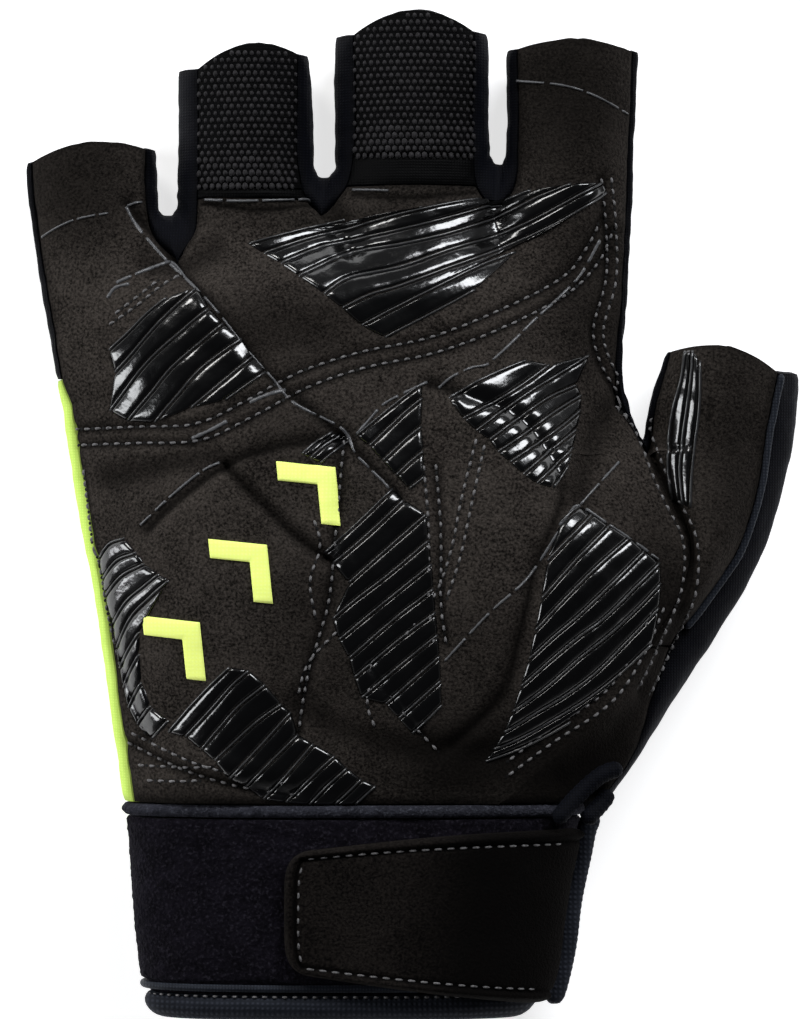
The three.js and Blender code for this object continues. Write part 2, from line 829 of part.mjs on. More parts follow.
function addTube(name, centres, radius, look, corners, steps) {
  const curve = new THREE.CatmullRomCurve3(centres);
  const frames = curve.computeFrenetFrames(steps, false);
  const vertices = [];
  for (let k = 0; k <= steps; k++) {
    const centre = curve.getPointAt(k / steps);
    const fade = Math.min(k, steps - k) === 0 ? endTaper : 1;
    for (let c = 0; c < corners; c++) {
      const angle = (2 * Math.PI * c) / corners;
      vertices.push(
        centre
          .clone()
          .addScaledVector(frames.normals[k], Math.cos(angle) * radius * fade)
          .addScaledVector(frames.binormals[k], Math.sin(angle) * radius * fade),
      );
    }
  }
  const triangles = [];
  for (let k = 0; k < steps; k++) {
    for (let c = 0; c < corners; c++) {
      const d = (c + 1) % corners;
      const [p, q] = [k * corners, (k + 1) * corners];
      triangles.push([p + c, p + d, q + d], [p + c, q + d, q + c]);
    }
  }
  const start = vertices.length;
  vertices.push(curve.getPointAt(0), curve.getPointAt(1));
  for (let c = 0; c < corners; c++) {
    const d = (c + 1) % corners;
    triangles.push([start, d, c], [start + 1, steps * corners + c, steps * corners + d]);
  }
  addMesh(name, vertices, triangles, look);
}

// Bound edge down the thumb side of the cuff, from under the palm corner to past the hem:
// share along, extra offset
const bindingRadius = 1.6;
const bindingTurn = -0.1;
const bindingCorners = 8;
const bindingSteps = 12;
const BINDING = [
  [0.201, 1.2],
  [0.19, 0],
  [0.16, 0],
  [0.116, 0],
  [0.07, 0],
  [0.03, 0.2],
  [0.0125, 0.9],
];
addTube(
  "edge_binding",
  BINDING.map(([a, extra]) => cuffPoint(bindingTurn, a, bindingRadius + layGap + extra)),
  bindingRadius,
  SLATE,
  bindingCorners,
  bindingSteps,
);

// The palm side of the net as triangles, to lay prints and piping on
const palmFaces = cells
  .filter(({ piece }) => /^(palm|thumb_panel|ring|middle)/.test(piece))
  .flatMap(({ corners: [a, b, c, d] }) => [
    [a, b, c],
    [a, c, d],
  ])
  .map((face) => face.map((k) => points[k]));

function skinHeight(x, y) {
  for (const [a, b, c] of palmFaces) {
    const area = (b.x - a.x) * (c.y - a.y) - (c.x - a.x) * (b.y - a.y);
    const v = ((x - a.x) * (c.y - a.y) - (c.x - a.x) * (y - a.y)) / area;
    const w = ((b.x - a.x) * (y - a.y) - (x - a.x) * (b.y - a.y)) / area;
    if (v >= 0 && w >= 0 && v + w <= 1) return a.z + v * (b.z - a.z) + w * (c.z - a.z);
  }
  return null;
}

// Point above the palm side of the skin at shares along and across, raised by an offset
const slopeReach = 1.5;

function palmSurface(alongShare, acrossShare, offset) {
  const x = across(acrossShare);
  const y = along(alongShare);
  const z = skinHeight(x, y);
  if (z === null) throw new Error("no cloth under " + alongShare + ", " + acrossShare);
  const slope = (dx, dy) => {
    const ahead = skinHeight(x + dx, y + dy) ?? z;
    const behind = skinHeight(x - dx, y - dy) ?? z;
    return (ahead - behind) / (2 * slopeReach);
  };
  const normal = new THREE.Vector3(-slope(slopeReach, 0), -slope(0, slopeReach), 1).normalize();
  return new THREE.Vector3(x, y, z).addScaledVector(normal, offset);
}

// Piping along the outer seam of the thumb panel
const thumbPipingRadius = 0.55;
const thumbPipingCorners = 6;
const thumbPipingSteps = 14;
const thumbPipingRows = palmGrid[THUMB].slice(SHARED_ROWS.findIndex((a) => a > thumbPanelStart) + 1);
addTube(
  "thumb_piping",
  thumbPipingRows.map((row) => {
    const seam = row[row.length - 1];
    return points[seam].clone().addScaledVector(normals[seam], thumbPipingRadius + layGap);
  }),
  thumbPipingRadius,
  PIPING,
  thumbPipingCorners,
  thumbPipingSteps,
);

// Folds of bound edge at the thumb corner of the cuff: share along, share across, height over the palm
const foldRadius = 1.3;
const foldCorners = 6;
const upperFoldSteps = 8;
const lowerFoldSteps = 6;
const UPPER_FOLD = [
  [0.1985, 0.676, 2.2],
  [0.222, 0.706, 0.4],
  [0.243, 0.738, 0.1],
  [0.25, 0.764, 0.1],
];
const LOWER_FOLD = [
  [0.197, 0.712, 2.6],
  [0.216, 0.738, 0.9],
  [0.228, 0.749, 0.2],
];
const foldPath = (table) =>
  table.map(([a, c, extra]) => {
    const over = palmSurface(Math.max(a, cuffEdge), c, foldRadius + layGap + extra);
    return over.setY(along(a));
  });
addTube("binding_fold_upper", foldPath(UPPER_FOLD), foldRadius, SLATE, foldCorners, upperFoldSteps);
addTube("binding_fold_lower", foldPath(LOWER_FOLD), foldRadius, SLATE, foldCorners, lowerFoldSteps);

// Raised grip print on the palm: ribs run from the low edge to the high edge of each patch.
// Each edge is three points as along, across.
const GRIPS = [
  {
    name: "little",
    low: [[0.628, 0.11], [0.602, 0.163], [0.589, 0.232]],
    high: [[0.725, 0.194], [0.685, 0.254], [0.635, 0.314]],
    ribs: 6,
    cells: 4,
  },
  {
    name: "fingers",
    low: [[0.767, 0.293], [0.723, 0.355], [0.685, 0.419]],
    high: [[0.782, 0.6], [0.793, 0.684], [0.788, 0.739]],
    ribs: 6,
    cells: 9,
  },
  {
    name: "index",
    low: [[0.625, 0.528], [0.574, 0.6], [0.534, 0.671]],
    high: [[0.661, 0.639], [0.648, 0.703], [0.616, 0.742]],
    ribs: 6,
    cells: 3,
  },
  {
    name: "centre_upper",
    low: [[0.574, 0.417], [0.544, 0.452], [0.514, 0.484]],
    high: [[0.62, 0.51], [0.579, 0.517], [0.536, 0.52]],
    ribs: 4,
    cells: 2,
  },
  {
    name: "centre_lower",
    low: [[0.434, 0.383], [0.355, 0.419], [0.275, 0.477]],
    high: [[0.514, 0.494], [0.414, 0.525], [0.315, 0.535]],
    ribs: 9,
    cells: 3,
  },
  {
    name: "heel",
    low: [[0.464, 0.103], [0.29, 0.161], [0.225, 0.342]],
    high: [[0.496, 0.125], [0.375, 0.271], [0.227, 0.445]],
    ribs: 12,
    cells: 3,
  },
  {
    name: "thenar",
    low: [[0.484, 0.671], [0.394, 0.645], [0.273, 0.6]],
    high: [[0.507, 0.714], [0.452, 0.809], [0.325, 0.757]],
    ribs: 9,
    cells: 4,
  },
  {
    name: "thumb",
    low: [[0.638, 0.84], [0.584, 0.83], [0.525, 0.848]],
    high: [[0.641, 0.862], [0.584, 0.868], [0.51, 0.872]],
    ribs: 4,
    cells: 2,
  },
];
const gripBase = 0.35;
const gripRib = 0.45;

// Point of the smooth bend through three points, at 0 to 1 from the first to the last
function bend(three, t) {
  const first = (1 - t) * (1 - 2 * t);
  const second = 4 * t * (1 - t);
  const third = t * (2 * t - 1);
  return [0, 1].map((k) => three[0][k] * first + three[1][k] * second + three[2][k] * third);
}

GRIPS.forEach((grip) => {
  const rows = Array.from({ length: 2 * grip.ribs + 1 }, (_, k) => k / (2 * grip.ribs));
  const columns = Array.from({ length: grip.cells + 1 }, (_, k) => k / grip.cells);
  addPlate(
    "grip_" + grip.name,
    columns,
    rows,
    (q, s, offset) => {
      const low = bend(grip.low, 1 - s);
      const high = bend(grip.high, 1 - s);
      return palmSurface(lerp(low[0], high[0], q), lerp(low[1], high[1], q), offset);
    },
    (i) => (i % 2 ? gripRib : 0),
    printGap,
    gripBase,
    SILICONE,
  );
});

export default glove;
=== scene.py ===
import math

import bpy
import numpy as np
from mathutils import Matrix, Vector
from mathutils.bvhtree import BVHTree
from mathutils.kdtree import KDTree


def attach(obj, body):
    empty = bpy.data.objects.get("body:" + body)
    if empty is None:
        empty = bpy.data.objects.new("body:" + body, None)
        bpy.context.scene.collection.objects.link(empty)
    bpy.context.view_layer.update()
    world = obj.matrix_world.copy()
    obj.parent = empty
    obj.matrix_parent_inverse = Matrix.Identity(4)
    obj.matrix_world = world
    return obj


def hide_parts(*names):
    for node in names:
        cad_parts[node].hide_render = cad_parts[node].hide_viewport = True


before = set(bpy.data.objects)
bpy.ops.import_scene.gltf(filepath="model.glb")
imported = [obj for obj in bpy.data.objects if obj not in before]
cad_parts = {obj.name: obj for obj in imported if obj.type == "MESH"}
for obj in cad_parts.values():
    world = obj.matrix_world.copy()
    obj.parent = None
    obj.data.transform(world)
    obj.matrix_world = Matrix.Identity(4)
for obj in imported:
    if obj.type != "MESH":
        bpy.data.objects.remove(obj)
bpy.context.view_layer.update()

MM = 0.001
GLOVE_LENGTH = 160.6
GLOVE_WIDTH = 124.0
PALM_DEPTH = 29.0
CLOTH = {"palm": 1.7, "mesh": 1.4, "stretch": 1.2, "band": 1.1, "back": 1.4, "cuff": 2.2, "strap": 2.0}

# Seams: gap between pieces on the outside, overlap on the inside, and least height above the surface
SEAM_GAP = 0.32
SHARPEST_CORNER = 0.3
SEAM_LAP = 0.12
FLOOR_CLEAR = 0.02

# Marks on the palm are given in steps of this many millimetres, right of and below a grid corner
STEP = 0.16
GRID_CORNER = (-66.0, 82.24)

# Outlines seen from the palm: share along, share across
LITTLE_SIDE = [
    (0.215, 0.13), (0.315, 0.111), (0.414, 0.092), (0.514, 0.068),
    (0.628, 0.045), (0.713, 0.026), (0.773, 0.013), (0.87, 0.0),
]
THUMB_SIDE = [
    (0.215, 0.748), (0.265, 0.794), (0.355, 0.871), (0.444, 0.942),
    (0.514, 0.974), (0.584, 0.994), (0.66, 1.0),
]
INDEX_SIDE = [(0.565, 0.796), (0.614, 0.772), (0.713, 0.775), (0.833, 0.783), (0.965, 0.79)]
THUMB_INNER_SIDE = [(0.565, 0.796), (0.614, 0.809), (0.663, 0.83)]

# Lines down the palm between the digits, and on up the palm edge of each digit
LITTLE_RIGHT = [
    (0.215, 0.271), (0.414, 0.245), (0.614, 0.213), (0.751, 0.197),
    (0.775, 0.169), (0.798, 0.161), (0.87, 0.159),
]
RING_LEFT = [(0.751, 0.197), (0.775, 0.217), (0.798, 0.221), (0.97, 0.223)]
RING_RIGHT = [
    (0.215, 0.413), (0.414, 0.4), (0.614, 0.387), (0.798, 0.383),
    (0.813, 0.366), (0.823, 0.36), (0.97, 0.354),
]
MIDDLE_LEFT = [(0.798, 0.383), (0.826, 0.414), (0.855, 0.422), (1.0, 0.422)]
MIDDLE_RIGHT = [
    (0.215, 0.548), (0.414, 0.561), (0.614, 0.587), (0.798, 0.606),
    (0.826, 0.584), (0.855, 0.58), (1.0, 0.581),
]
INDEX_LEFT = [(0.798, 0.606), (0.83, 0.63), (0.865, 0.633), (0.98, 0.633)]
INDEX_RIGHT = [
    (0.215, 0.61), (0.275, 0.7), (0.325, 0.768), (0.375, 0.806), (0.424, 0.844), (0.474, 0.854),
    (0.524, 0.828), (0.565, 0.802), (0.614, 0.768), (0.713, 0.771), (0.833, 0.779), (0.98, 0.786),
]
THUMB_LEFT = [(0.565, 0.802), (0.614, 0.813), (0.68, 0.836)]
THUMB_RIGHT = [
    (0.215, 0.742), (0.265, 0.786), (0.325, 0.812), (0.375, 0.836), (0.414, 0.875),
    (0.459, 0.914), (0.514, 0.941), (0.584, 0.957), (0.67, 0.978),
]

# Heights as shares of the palm depth: share along, palm crest, side rim, palm edge on the little
# side, height along the thumb seam
HEIGHTS = [
    (0.215, 0.9, 0.4, 0.62, 0.86),
    (0.3, 0.97, 0.39, 0.62, 0.84),
    (0.42, 1.0, 0.37, 0.6, 0.76),
    (0.5, 0.97, 0.35, 0.57, 0.66),
    (0.565, 0.92, 0.34, 0.55, 0.52),
    (0.7, 0.78, 0.3, 0.47, 0.45),
    (0.8, 0.63, 0.27, 0.41, 0.4),
    (1.0, 0.56, 0.26, 0.38, 0.38),
]

# Each digit: column lines, side outlines, cell count, crest and edge heights as shares of the palm
# depth, last shared row, own rows as shares along, and the tip as along, tilt and arch
DIGITS = [
    dict(left=LITTLE_SIDE, left_inset=0.004, right=LITTLE_RIGHT, side_left=LITTLE_SIDE,
         side_right=[(0.798, 0.172), (0.87, 0.168)], columns=4, crest=0.55, edge_left=0.37,
         edge_right=0.42, last_shared=18, rows=[0.82, 0.84], tip=(0.857, 0.013, 0.012)),
    dict(left=RING_LEFT, left_inset=0.0, right=RING_RIGHT, side_left=[(0.798, 0.196), (0.97, 0.197)],
         side_right=[(0.836, 0.374), (0.97, 0.365)], columns=5, crest=0.57, edge_left=0.46,
         edge_right=0.44, last_shared=18, rows=[0.813, 0.823, 0.855, 0.887, 0.92],
         tip=(0.95, 0.015, 0.016)),
    dict(left=MIDDLE_LEFT, left_inset=0.0, right=MIDDLE_RIGHT,
         side_left=[(0.836, 0.4), (1.0, 0.4)], side_right=[(0.848, 0.6), (1.0, 0.597)], columns=5,
         crest=0.58, edge_left=0.45, edge_right=0.45, last_shared=18,
         rows=[0.826, 0.855, 0.887, 0.918, 0.95], tip=(0.978, 0.003, 0.021)),
    dict(left=INDEX_LEFT, left_inset=0.0, right=INDEX_RIGHT,
         side_left=[(0.848, 0.622), (0.98, 0.622)], side_right=INDEX_SIDE, columns=5, crest=0.57,
         edge_left=0.43, edge_right=0.37, last_shared=18, rows=[0.826, 0.855, 0.89, 0.927],
         tip=(0.962, -0.002, 0.009)),
    dict(left=THUMB_LEFT, left_inset=0.0, right=THUMB_RIGHT, side_left=THUMB_INNER_SIDE,
         side_right=THUMB_SIDE, columns=4, crest=0.7, edge_left=0.47, edge_right=0.56,
         last_shared=10, rows=[0.59, 0.613, 0.637], tip=(0.651, -0.022, 0.015)),
]
THUMB = len(DIGITS) - 1
SHARED_ROWS = [
    0.215, 0.25, 0.285, 0.325, 0.368, 0.404, 0.444, 0.484, 0.52, 0.545, 0.565, 0.604, 0.633,
    0.663, 0.693, 0.723, 0.751, 0.775, 0.798,
]

# Slits between neighbouring digits: first row above the web, web point as along, across
SLITS = [(16, (0.798, 0.184)), (18, (0.836, 0.387)), (18, (0.848, 0.611)), (10, (0.574, 0.796))]
WEB_NAMES = ["web_little_ring", "web_ring_middle", "web_middle_index", "web_index_thumb"]
# Rows where the thumb panel begins and the neon panel ends, and cells round the side of a digit
THUMB_PANEL_ROW = 4
NEON_ROWS = 12
BAND_CELLS = 4

# Padding under the palm: centre as along, across; half sizes as shares of the length; turn; rise
PADS = [
    ((0.73, 0.42), (0.21, 0.06), 14, 1.1),
    ((0.45, 0.27), (0.17, 0.12), 62, 1.4),
    ((0.45, 0.66), (0.18, 0.11), 78, 1.5),
]

# Where the digits leave the palm and the thumb takes its own shape, as shares along
CUFF_EDGE = SHARED_ROWS[0]
THUMB_ROOT = 0.565
FINGER_ROOT = 0.8
WEB_FADE = 0.085
THUMB_TIP_START = 0.6
THUMB_TIP_FADE = 0.06
NEON_INSET = 0.012
NEON_INSET_START = 0.604
NEON_INSET_FADE = 0.029

# Roundness of the palm side: shares of the palm depth, and shares where each begins or fades
THUMB_OUTER_EDGE = 0.62
THUMB_EDGE_FADE = 0.3
LOW_SWELL = 0.02
HIGH_SWELL = 0.16
SWELL_START = 0.33
SWELL_FADE = 0.2
LITTLE_SHOULDER = 0.3
THUMB_SHOULDER = 0.34
FINGER_EDGE_SHARE = 0.5
COLUMN_CROWDING = 0.7
JOIN_REACH = 0.45
JOIN_ROWS = 2
PAD_STEEPNESS = 1.4

# Back of the glove, and the webs between the digits
BACK_INSET = 0.024
BACK_EDGE_RISE = 2.4
FINGER_EDGE_RISE = 1.9
BACK_FLAT_SHARE = 0.55
FINGER_FLAT_SHARE = 0.35
TIP_LIFT = 0.9
WEB_EASING = 1.6
WEB_OPENING = 5


def across(share):
    return (share - 0.5) * GLOVE_WIDTH


def along(share):
    return (share - 0.5) * GLOVE_LENGTH


def on_grid(marks):
    """Millimetre points of marks on the palm grid."""
    m = np.asarray(marks, float)
    return np.stack([GRID_CORNER[0] + m[:, 0] * STEP, GRID_CORNER[1] - m[:, 1] * STEP], 1)


def smooth_step(t):
    c = np.clip(t, 0, 1)
    return c * c * (3 - 2 * c)


def lerp(a, b, t):
    return a + (b - a) * t


def unit(vectors):
    return vectors / np.linalg.norm(vectors, axis=-1, keepdims=True)


def bell(x, half):
    return np.exp(-((x / half) ** 2))


def lookup(table, keys, column=1):
    """Smooth values of one column of a table at keys held in column 0."""
    t = np.asarray(table, float)
    x, y = t[:, 0], t[:, column]
    slope = np.diff(y) / np.diff(x)
    tangent = np.concatenate(([slope[0]], (slope[:-1] + slope[1:]) / 2, [slope[-1]]))
    k = np.clip(np.asarray(keys, float), x[0], x[-1])
    i = np.clip(np.searchsorted(x, k) - 1, 0, len(x) - 2)
    span = x[i + 1] - x[i]
    s = (k - x[i]) / span
    return (
        y[i] * (2 * s**3 - 3 * s**2 + 1)
        + y[i + 1] * (3 * s**2 - 2 * s**3)
        + span * (tangent[i] * (s**3 - 2 * s**2 + s) + tangent[i + 1] * (s**3 - s**2))
    )


def palm_blend(digit, a):
    """How far a point has left the fingers and joined the palm, 0 to 1."""
    root = THUMB_ROOT if digit == THUMB else FINGER_ROOT
    return smooth_step((root - a) / WEB_FADE)


def palm_edges(digit, a):
    """Shares across of the two palm edges of a digit."""
    d = DIGITS[digit]
    inset = d["left_inset"]
    if digit == 0:
        inset = lerp(NEON_INSET, inset, smooth_step((a - NEON_INSET_START) / NEON_INSET_FADE))
    left = lookup(d["left"], a)
    if digit > 0:
        left = np.where(a < d["left"][0][0], lookup(DIGITS[digit - 1]["right"], a), left)
    return left + inset, lookup(d["right"], a)


def palm_height(a, digit, q):
    """Height of the palm side at a share along and the share q across a digit."""
    d = DIGITS[digit]
    left, right = palm_edges(digit, a)
    x = lerp(left, right, q)
    crest, little_edge, seam_edge = (lookup(HEIGHTS, a, c) for c in (1, 3, 4))
    lobe = 1 - (2 * q - 1) ** 2
    rim = lerp(d["edge_left"], d["edge_right"], q)
    digit_height = rim + (d["crest"] - rim) * lobe
    if digit == THUMB:
        outer = lerp(THUMB_OUTER_EDGE, d["edge_right"], smooth_step((a - CUFF_EDGE) / THUMB_EDGE_FADE))
        swell = lerp(LOW_SWELL, HIGH_SWELL, smooth_step((a - SWELL_START) / SWELL_FADE))
        merged = lerp(seam_edge, outer, q) + swell * lobe
        shared = smooth_step((THUMB_TIP_START - a) / THUMB_TIP_FADE)
        return PALM_DEPTH * lerp(digit_height, merged, shared)
    body_left = palm_edges(0, a)[0]
    t = (x - body_left) / (lookup(INDEX_RIGHT, a) - body_left)
    finger_edge = lerp(seam_edge, d["edge_right"], FINGER_EDGE_SHARE)
    edge = lerp(little_edge, np.where(a < THUMB_ROOT, seam_edge, finger_edge), t)

    def shoulder(s, reach):
        return 1 - (1 - np.clip(s / reach, 0, 1)) ** 2

    body = edge + (crest - edge) * shoulder(t, LITTLE_SHOULDER) * shoulder(1 - t, THUMB_SHOULDER)
    return PALM_DEPTH * lerp(digit_height, body, palm_blend(digit, a))


def back_height(a, digit, q):
    def overhang(s, flat):
        return np.clip((np.abs(2 * s - 1) - flat) / (1 - flat), 0, None) ** 2

    lift = TIP_LIFT * np.clip((a - FINGER_ROOT) / (1 - FINGER_ROOT), 0, None) ** 2
    left, right = palm_edges(digit, a)
    body_left = palm_edges(0, a)[0]
    body_right = np.where(a < THUMB_ROOT, lookup(THUMB_RIGHT, a), lookup(INDEX_RIGHT, a))
    t = np.clip((lerp(left, right, q) - body_left) / (body_right - body_left), 0, 1)
    finger = FINGER_EDGE_RISE * overhang(q, FINGER_FLAT_SHARE) + lift
    return lerp(finger, BACK_EDGE_RISE * overhang(t, BACK_FLAT_SHARE), palm_blend(digit, a))


def pad_rise(a, share):
    total = 0
    for centre, half, turn, rise in PADS:
        dx = (across(share) - across(centre[1])) / GLOVE_LENGTH
        dy = a - centre[0]
        c, s = math.cos(math.radians(turn)), math.sin(math.radians(turn))
        u = (dx * c + dy * s) / half[0]
        v = (dy * c - dx * s) / half[1]
        total = total + rise * smooth_step(PAD_STEEPNESS * (1 - np.hypot(u, v)))
    return total


def levels(digit, fine):
    """Shares along of all rows of a digit, with fine steps between its named rows."""
    d = DIGITS[digit]
    level = SHARED_ROWS[: d["last_shared"] + 1] + d["rows"] + [d["tip"][0]]
    return np.interp(np.arange((len(level) - 1) * fine + 1) / fine, np.arange(len(level)), level)


def arched(digit, level, q):
    """Share along of a level: shared rows are level, and the tip row is arched."""
    d = DIGITS[digit]
    start = SHARED_ROWS[d["last_shared"]]
    tip, tilt, arch = d["tip"]
    reach = np.clip((level - start) / (tip - start), 0, 1)
    return level + reach**3 * (tilt * (q - 0.5) + arch * (1 - (2 * q - 1) ** 2))


def digit_surface(digit, fine, is_palm, neighbour):
    """Grid of points on the palm or back side of one digit, joined to its neighbour's below the slit."""
    d = DIGITS[digit]
    even = np.arange(d["columns"] * fine + 1) / fine / d["columns"]
    q = lerp(even, 0.5 - np.cos(np.pi * even) / 2, COLUMN_CROWDING)[None, :]
    level = levels(digit, fine)[:, None]
    row = (np.arange(len(level)) / fine)[:, None]
    a = arched(digit, level, q)
    left, right = palm_edges(digit, a)
    if not is_palm:
        open_left = 1 if digit == 0 else smooth_step(row - SLITS[digit - 1][0])
        open_right = 1 if digit == THUMB else smooth_step(row - SLITS[digit][0])
        left = lerp(left, lookup(d["side_left"], a) + BACK_INSET, open_left)
        right = lerp(right, lookup(d["side_right"], a) - BACK_INSET, open_right)
    share = lerp(left, right, q)
    z = palm_height(a, digit, q) + pad_rise(a, share) if is_palm else back_height(a, digit, q)
    if digit > 0:
        joined = SLITS[digit - 1][0] * fine + 1
        step = np.zeros(len(z))
        step[:joined] = neighbour[:joined, -1, 2] - z[:joined, 0]
        beyond = np.arange(1, len(z) - joined + 1)
        step[joined:] = step[joined - 1] * smooth_step(1 - beyond / (JOIN_ROWS * fine))
        z = z + step[:, None] * (1 - smooth_step(q / JOIN_REACH))
    return np.stack(np.broadcast_arrays(across(share), along(a), z), 2)


def palm_piece(digit, row):
    last = DIGITS[digit]["last_shared"]
    if digit == THUMB:
        return "palm_panel" if row < THUMB_PANEL_ROW else "thumb_panel"
    if digit in (1, 2) and row > last:
        finger = "ring" if digit == 1 else "middle"
        return finger + ("_band" if row == last + 1 else "_mesh")
    return "palm_panel"


def grid_faces(index, turned=False):
    """Quads of a grid of point numbers."""
    a, b, c, d = index[:-1, :-1], index[:-1, 1:], index[1:, 1:], index[1:, :-1]
    return np.stack([a, d, c, b] if turned else [a, b, c, d], 2)


class Net:
    """The whole skin as one net of points, from which each piece of cloth takes its own cells."""

    def __init__(self, fine, band_fine):
        self.fine = fine
        self.blocks = []
        self.count = 0
        self.quads = []
        self.names = []
        self.band_columns = {}
        self.palm = self.side(True)
        self.back = self.side(False)
        self.points = np.concatenate(self.blocks)
        self.add_bands(BAND_CELLS * band_fine)
        self.points = np.concatenate(self.blocks)
        self.quads = np.concatenate(self.quads)
        self.names = np.concatenate(self.names)
        self.normals = self.outward()

    def add_points(self, grid):
        """Keep a grid of points and give their numbers."""
        index = self.count + np.arange(grid.shape[0] * grid.shape[1]).reshape(grid.shape[:2])
        self.count += index.size
        self.blocks.append(grid.reshape(-1, 3))
        return index

    def add_quads(self, quads, names):
        self.quads.append(quads.reshape(-1, 4))
        self.names.append(np.asarray(names).reshape(-1))

    def side(self, is_palm):
        grids = []
        surface = None
        for digit in range(len(DIGITS)):
            surface = digit_surface(digit, self.fine, is_palm, surface)
            index = self.add_points(surface)
            if digit > 0:
                joined = SLITS[digit - 1][0] * self.fine + 1
                index[:joined, 0] = grids[-1][:joined, -1]
            grids.append(index)
            quads = grid_faces(index, not is_palm)
            rows = np.arange(quads.shape[0]) // self.fine
            names = [palm_piece(digit, r) if is_palm else "back_panel" for r in rows]
            self.add_quads(quads, np.repeat(names, quads.shape[1]))
        return grids

    def run(self, digit, is_right, from_row, web):
        """Points up one side of a digit, with the outline that the side bulges to."""
        d = DIGITS[digit]
        outline = d["side_right"] if is_right else d["side_left"]
        column = -1 if is_right else 0
        first = from_row * self.fine
        top = self.palm[digit][first:, column]
        low = self.back[digit][first:, column]
        level = levels(digit, self.fine)[first:]
        a = arched(digit, level, 1.0 if is_right else 0.0)
        share = lookup(outline, a)
        if web:
            t = np.arange(len(level)) / (len(level) - 1)
            a = lerp(web[0], a[-1], t**WEB_EASING)
            share = lerp(web[1], lookup(outline, a), np.minimum(1, np.sqrt(t * WEB_OPENING)))
        side = np.stack([across(share), along(a), PALM_DEPTH * lookup(HEIGHTS, a, 2)], 1)
        row = first // self.fine + np.arange(len(level)) // self.fine
        return top, low, side, row

    def add_bands(self, steps):
        top, low, side, row = (v[::-1] for v in self.run(0, False, 0, None))
        names = np.where(row[1:] < NEON_ROWS, "neon_side_panel", "little_side_strip")
        self.band("little_side", top, low, side, names, steps)
        top, low, side, _ = self.run(THUMB, True, 0, None)
        self.band("thumb_side", top, low, side, ["thumb_side_panel"] * (len(top) - 1), steps)
        for digit, (slit_row, web) in enumerate(SLITS):
            down = [v[::-1] for v in self.run(digit + 1, False, slit_row, web)]
            up = [v[1:] for v in self.run(digit, True, slit_row, web)]
            top, low, side = (np.concatenate([down[k], up[k]]) for k in range(3))
            self.band(WEB_NAMES[digit], top, low, side, [WEB_NAMES[digit]] * (len(top) - 1), steps)

    def band(self, label, top, low, side, names, steps):
        """Cloth between the palm edge and the back edge, rounded out to the side outline."""
        p, q = self.points[top], self.points[low]
        pull = 2 * side - 0.5 * p - 0.5 * q
        t = (np.arange(1, steps) / steps)[None, :, None]
        made = (1 - t) ** 2 * p[:, None] + 2 * t * (1 - t) * pull[:, None] + t * t * q[:, None]
        columns = np.concatenate([top[:, None], self.add_points(made), low[:, None]], 1)
        self.band_columns[label] = columns
        self.add_quads(grid_faces(columns), np.repeat(names, steps))

    def outward(self):
        a, b, c, d = (self.points[self.quads[:, k]] for k in range(4))
        face = np.cross(c - a, d - b)
        normals = np.zeros_like(self.points)
        for k in range(4):
            np.add.at(normals, self.quads[:, k], face)
        return normals / np.maximum(np.linalg.norm(normals, axis=1, keepdims=True), 1e-9)


# Stitched channels pressed into the palm: half width, depth in millimetres, then grid marks
CHANNELS = [
    (0.9, 0.55, [(75, 430), (140, 428), (200, 425), (250, 402), (300, 375), (360, 355), (430, 340),
                 (500, 312), (560, 280), (585, 250), (600, 220)]),
    (0.9, 0.45, [(72, 446), (140, 444), (205, 441), (258, 417), (308, 390), (366, 370), (436, 355),
                 (506, 328), (568, 294), (598, 262), (612, 232)]),
    (1.0, 0.6, [(130, 205), (180, 265), (225, 320), (265, 370), (305, 405), (345, 440), (400, 495)]),
    (0.8, 0.5, [(600, 180), (605, 230), (605, 280), (592, 330), (600, 365), (622, 400)]),
    (0.95, 1.3, [(228, 466), (262, 500), (297, 534), (329, 558)]),
    (0.9, 0.55, [(130, 740), (165, 756), (200, 770), (250, 783), (300, 790)]),
    (0.8, 0.5, [(370, 660), (400, 705), (440, 750)]),
    (0.8, 0.5, [(435, 465), (440, 530), (440, 600), (445, 640)]),
    (1.0, 0.7, [(150, 530), (180, 500), (235, 462), (290, 445), (345, 440)]),
    (1.0, 0.6, [(345, 440), (338, 520), (330, 600), (310, 670), (300, 730)]),
    (1.1, 0.7, [(430, 385), (470, 398), (520, 420), (556, 470), (560, 500), (535, 560), (520, 620),
                (500, 690), (450, 742)]),
    (1.0, 0.6, [(100, 560), (112, 620), (128, 680), (150, 735)]),
    (0.8, 0.5, [(620, 402), (640, 428), (655, 470), (668, 500), (686, 540), (684, 590), (664, 640),
                (640, 690)]),
    (0.7, 0.35, [(205, 205), (260, 212), (315, 205)]),
    (0.7, 0.35, [(352, 196), (410, 200), (475, 193)]),
]

# Folds that the cloth lies in: half width, height (down if negative), then grid marks
FOLDS = [
    (2.2, -0.8, [(150, 265), (185, 268), (215, 250)]),
    (1.6, 0.5, [(140, 238), (175, 248), (200, 238)]),
    (1.8, -0.7, [(318, 190), (340, 222), (352, 250)]),
    (1.4, 0.45, [(300, 215), (322, 232), (338, 262)]),
    (1.8, -0.7, [(497, 190), (498, 215), (488, 240)]),
    (2.6, -0.9, [(612, 405), (590, 445), (575, 500)]),
    (2.2, -0.7, [(110, 480), (165, 468), (215, 455)]),
    (2.4, -0.6, [(300, 700), (345, 725), (420, 745), (500, 750)]),
    (2.0, 0.5, [(180, 745), (260, 765), (330, 768)]),
    (2.4, -0.7, [(640, 700), (600, 745), (560, 775)]),
]

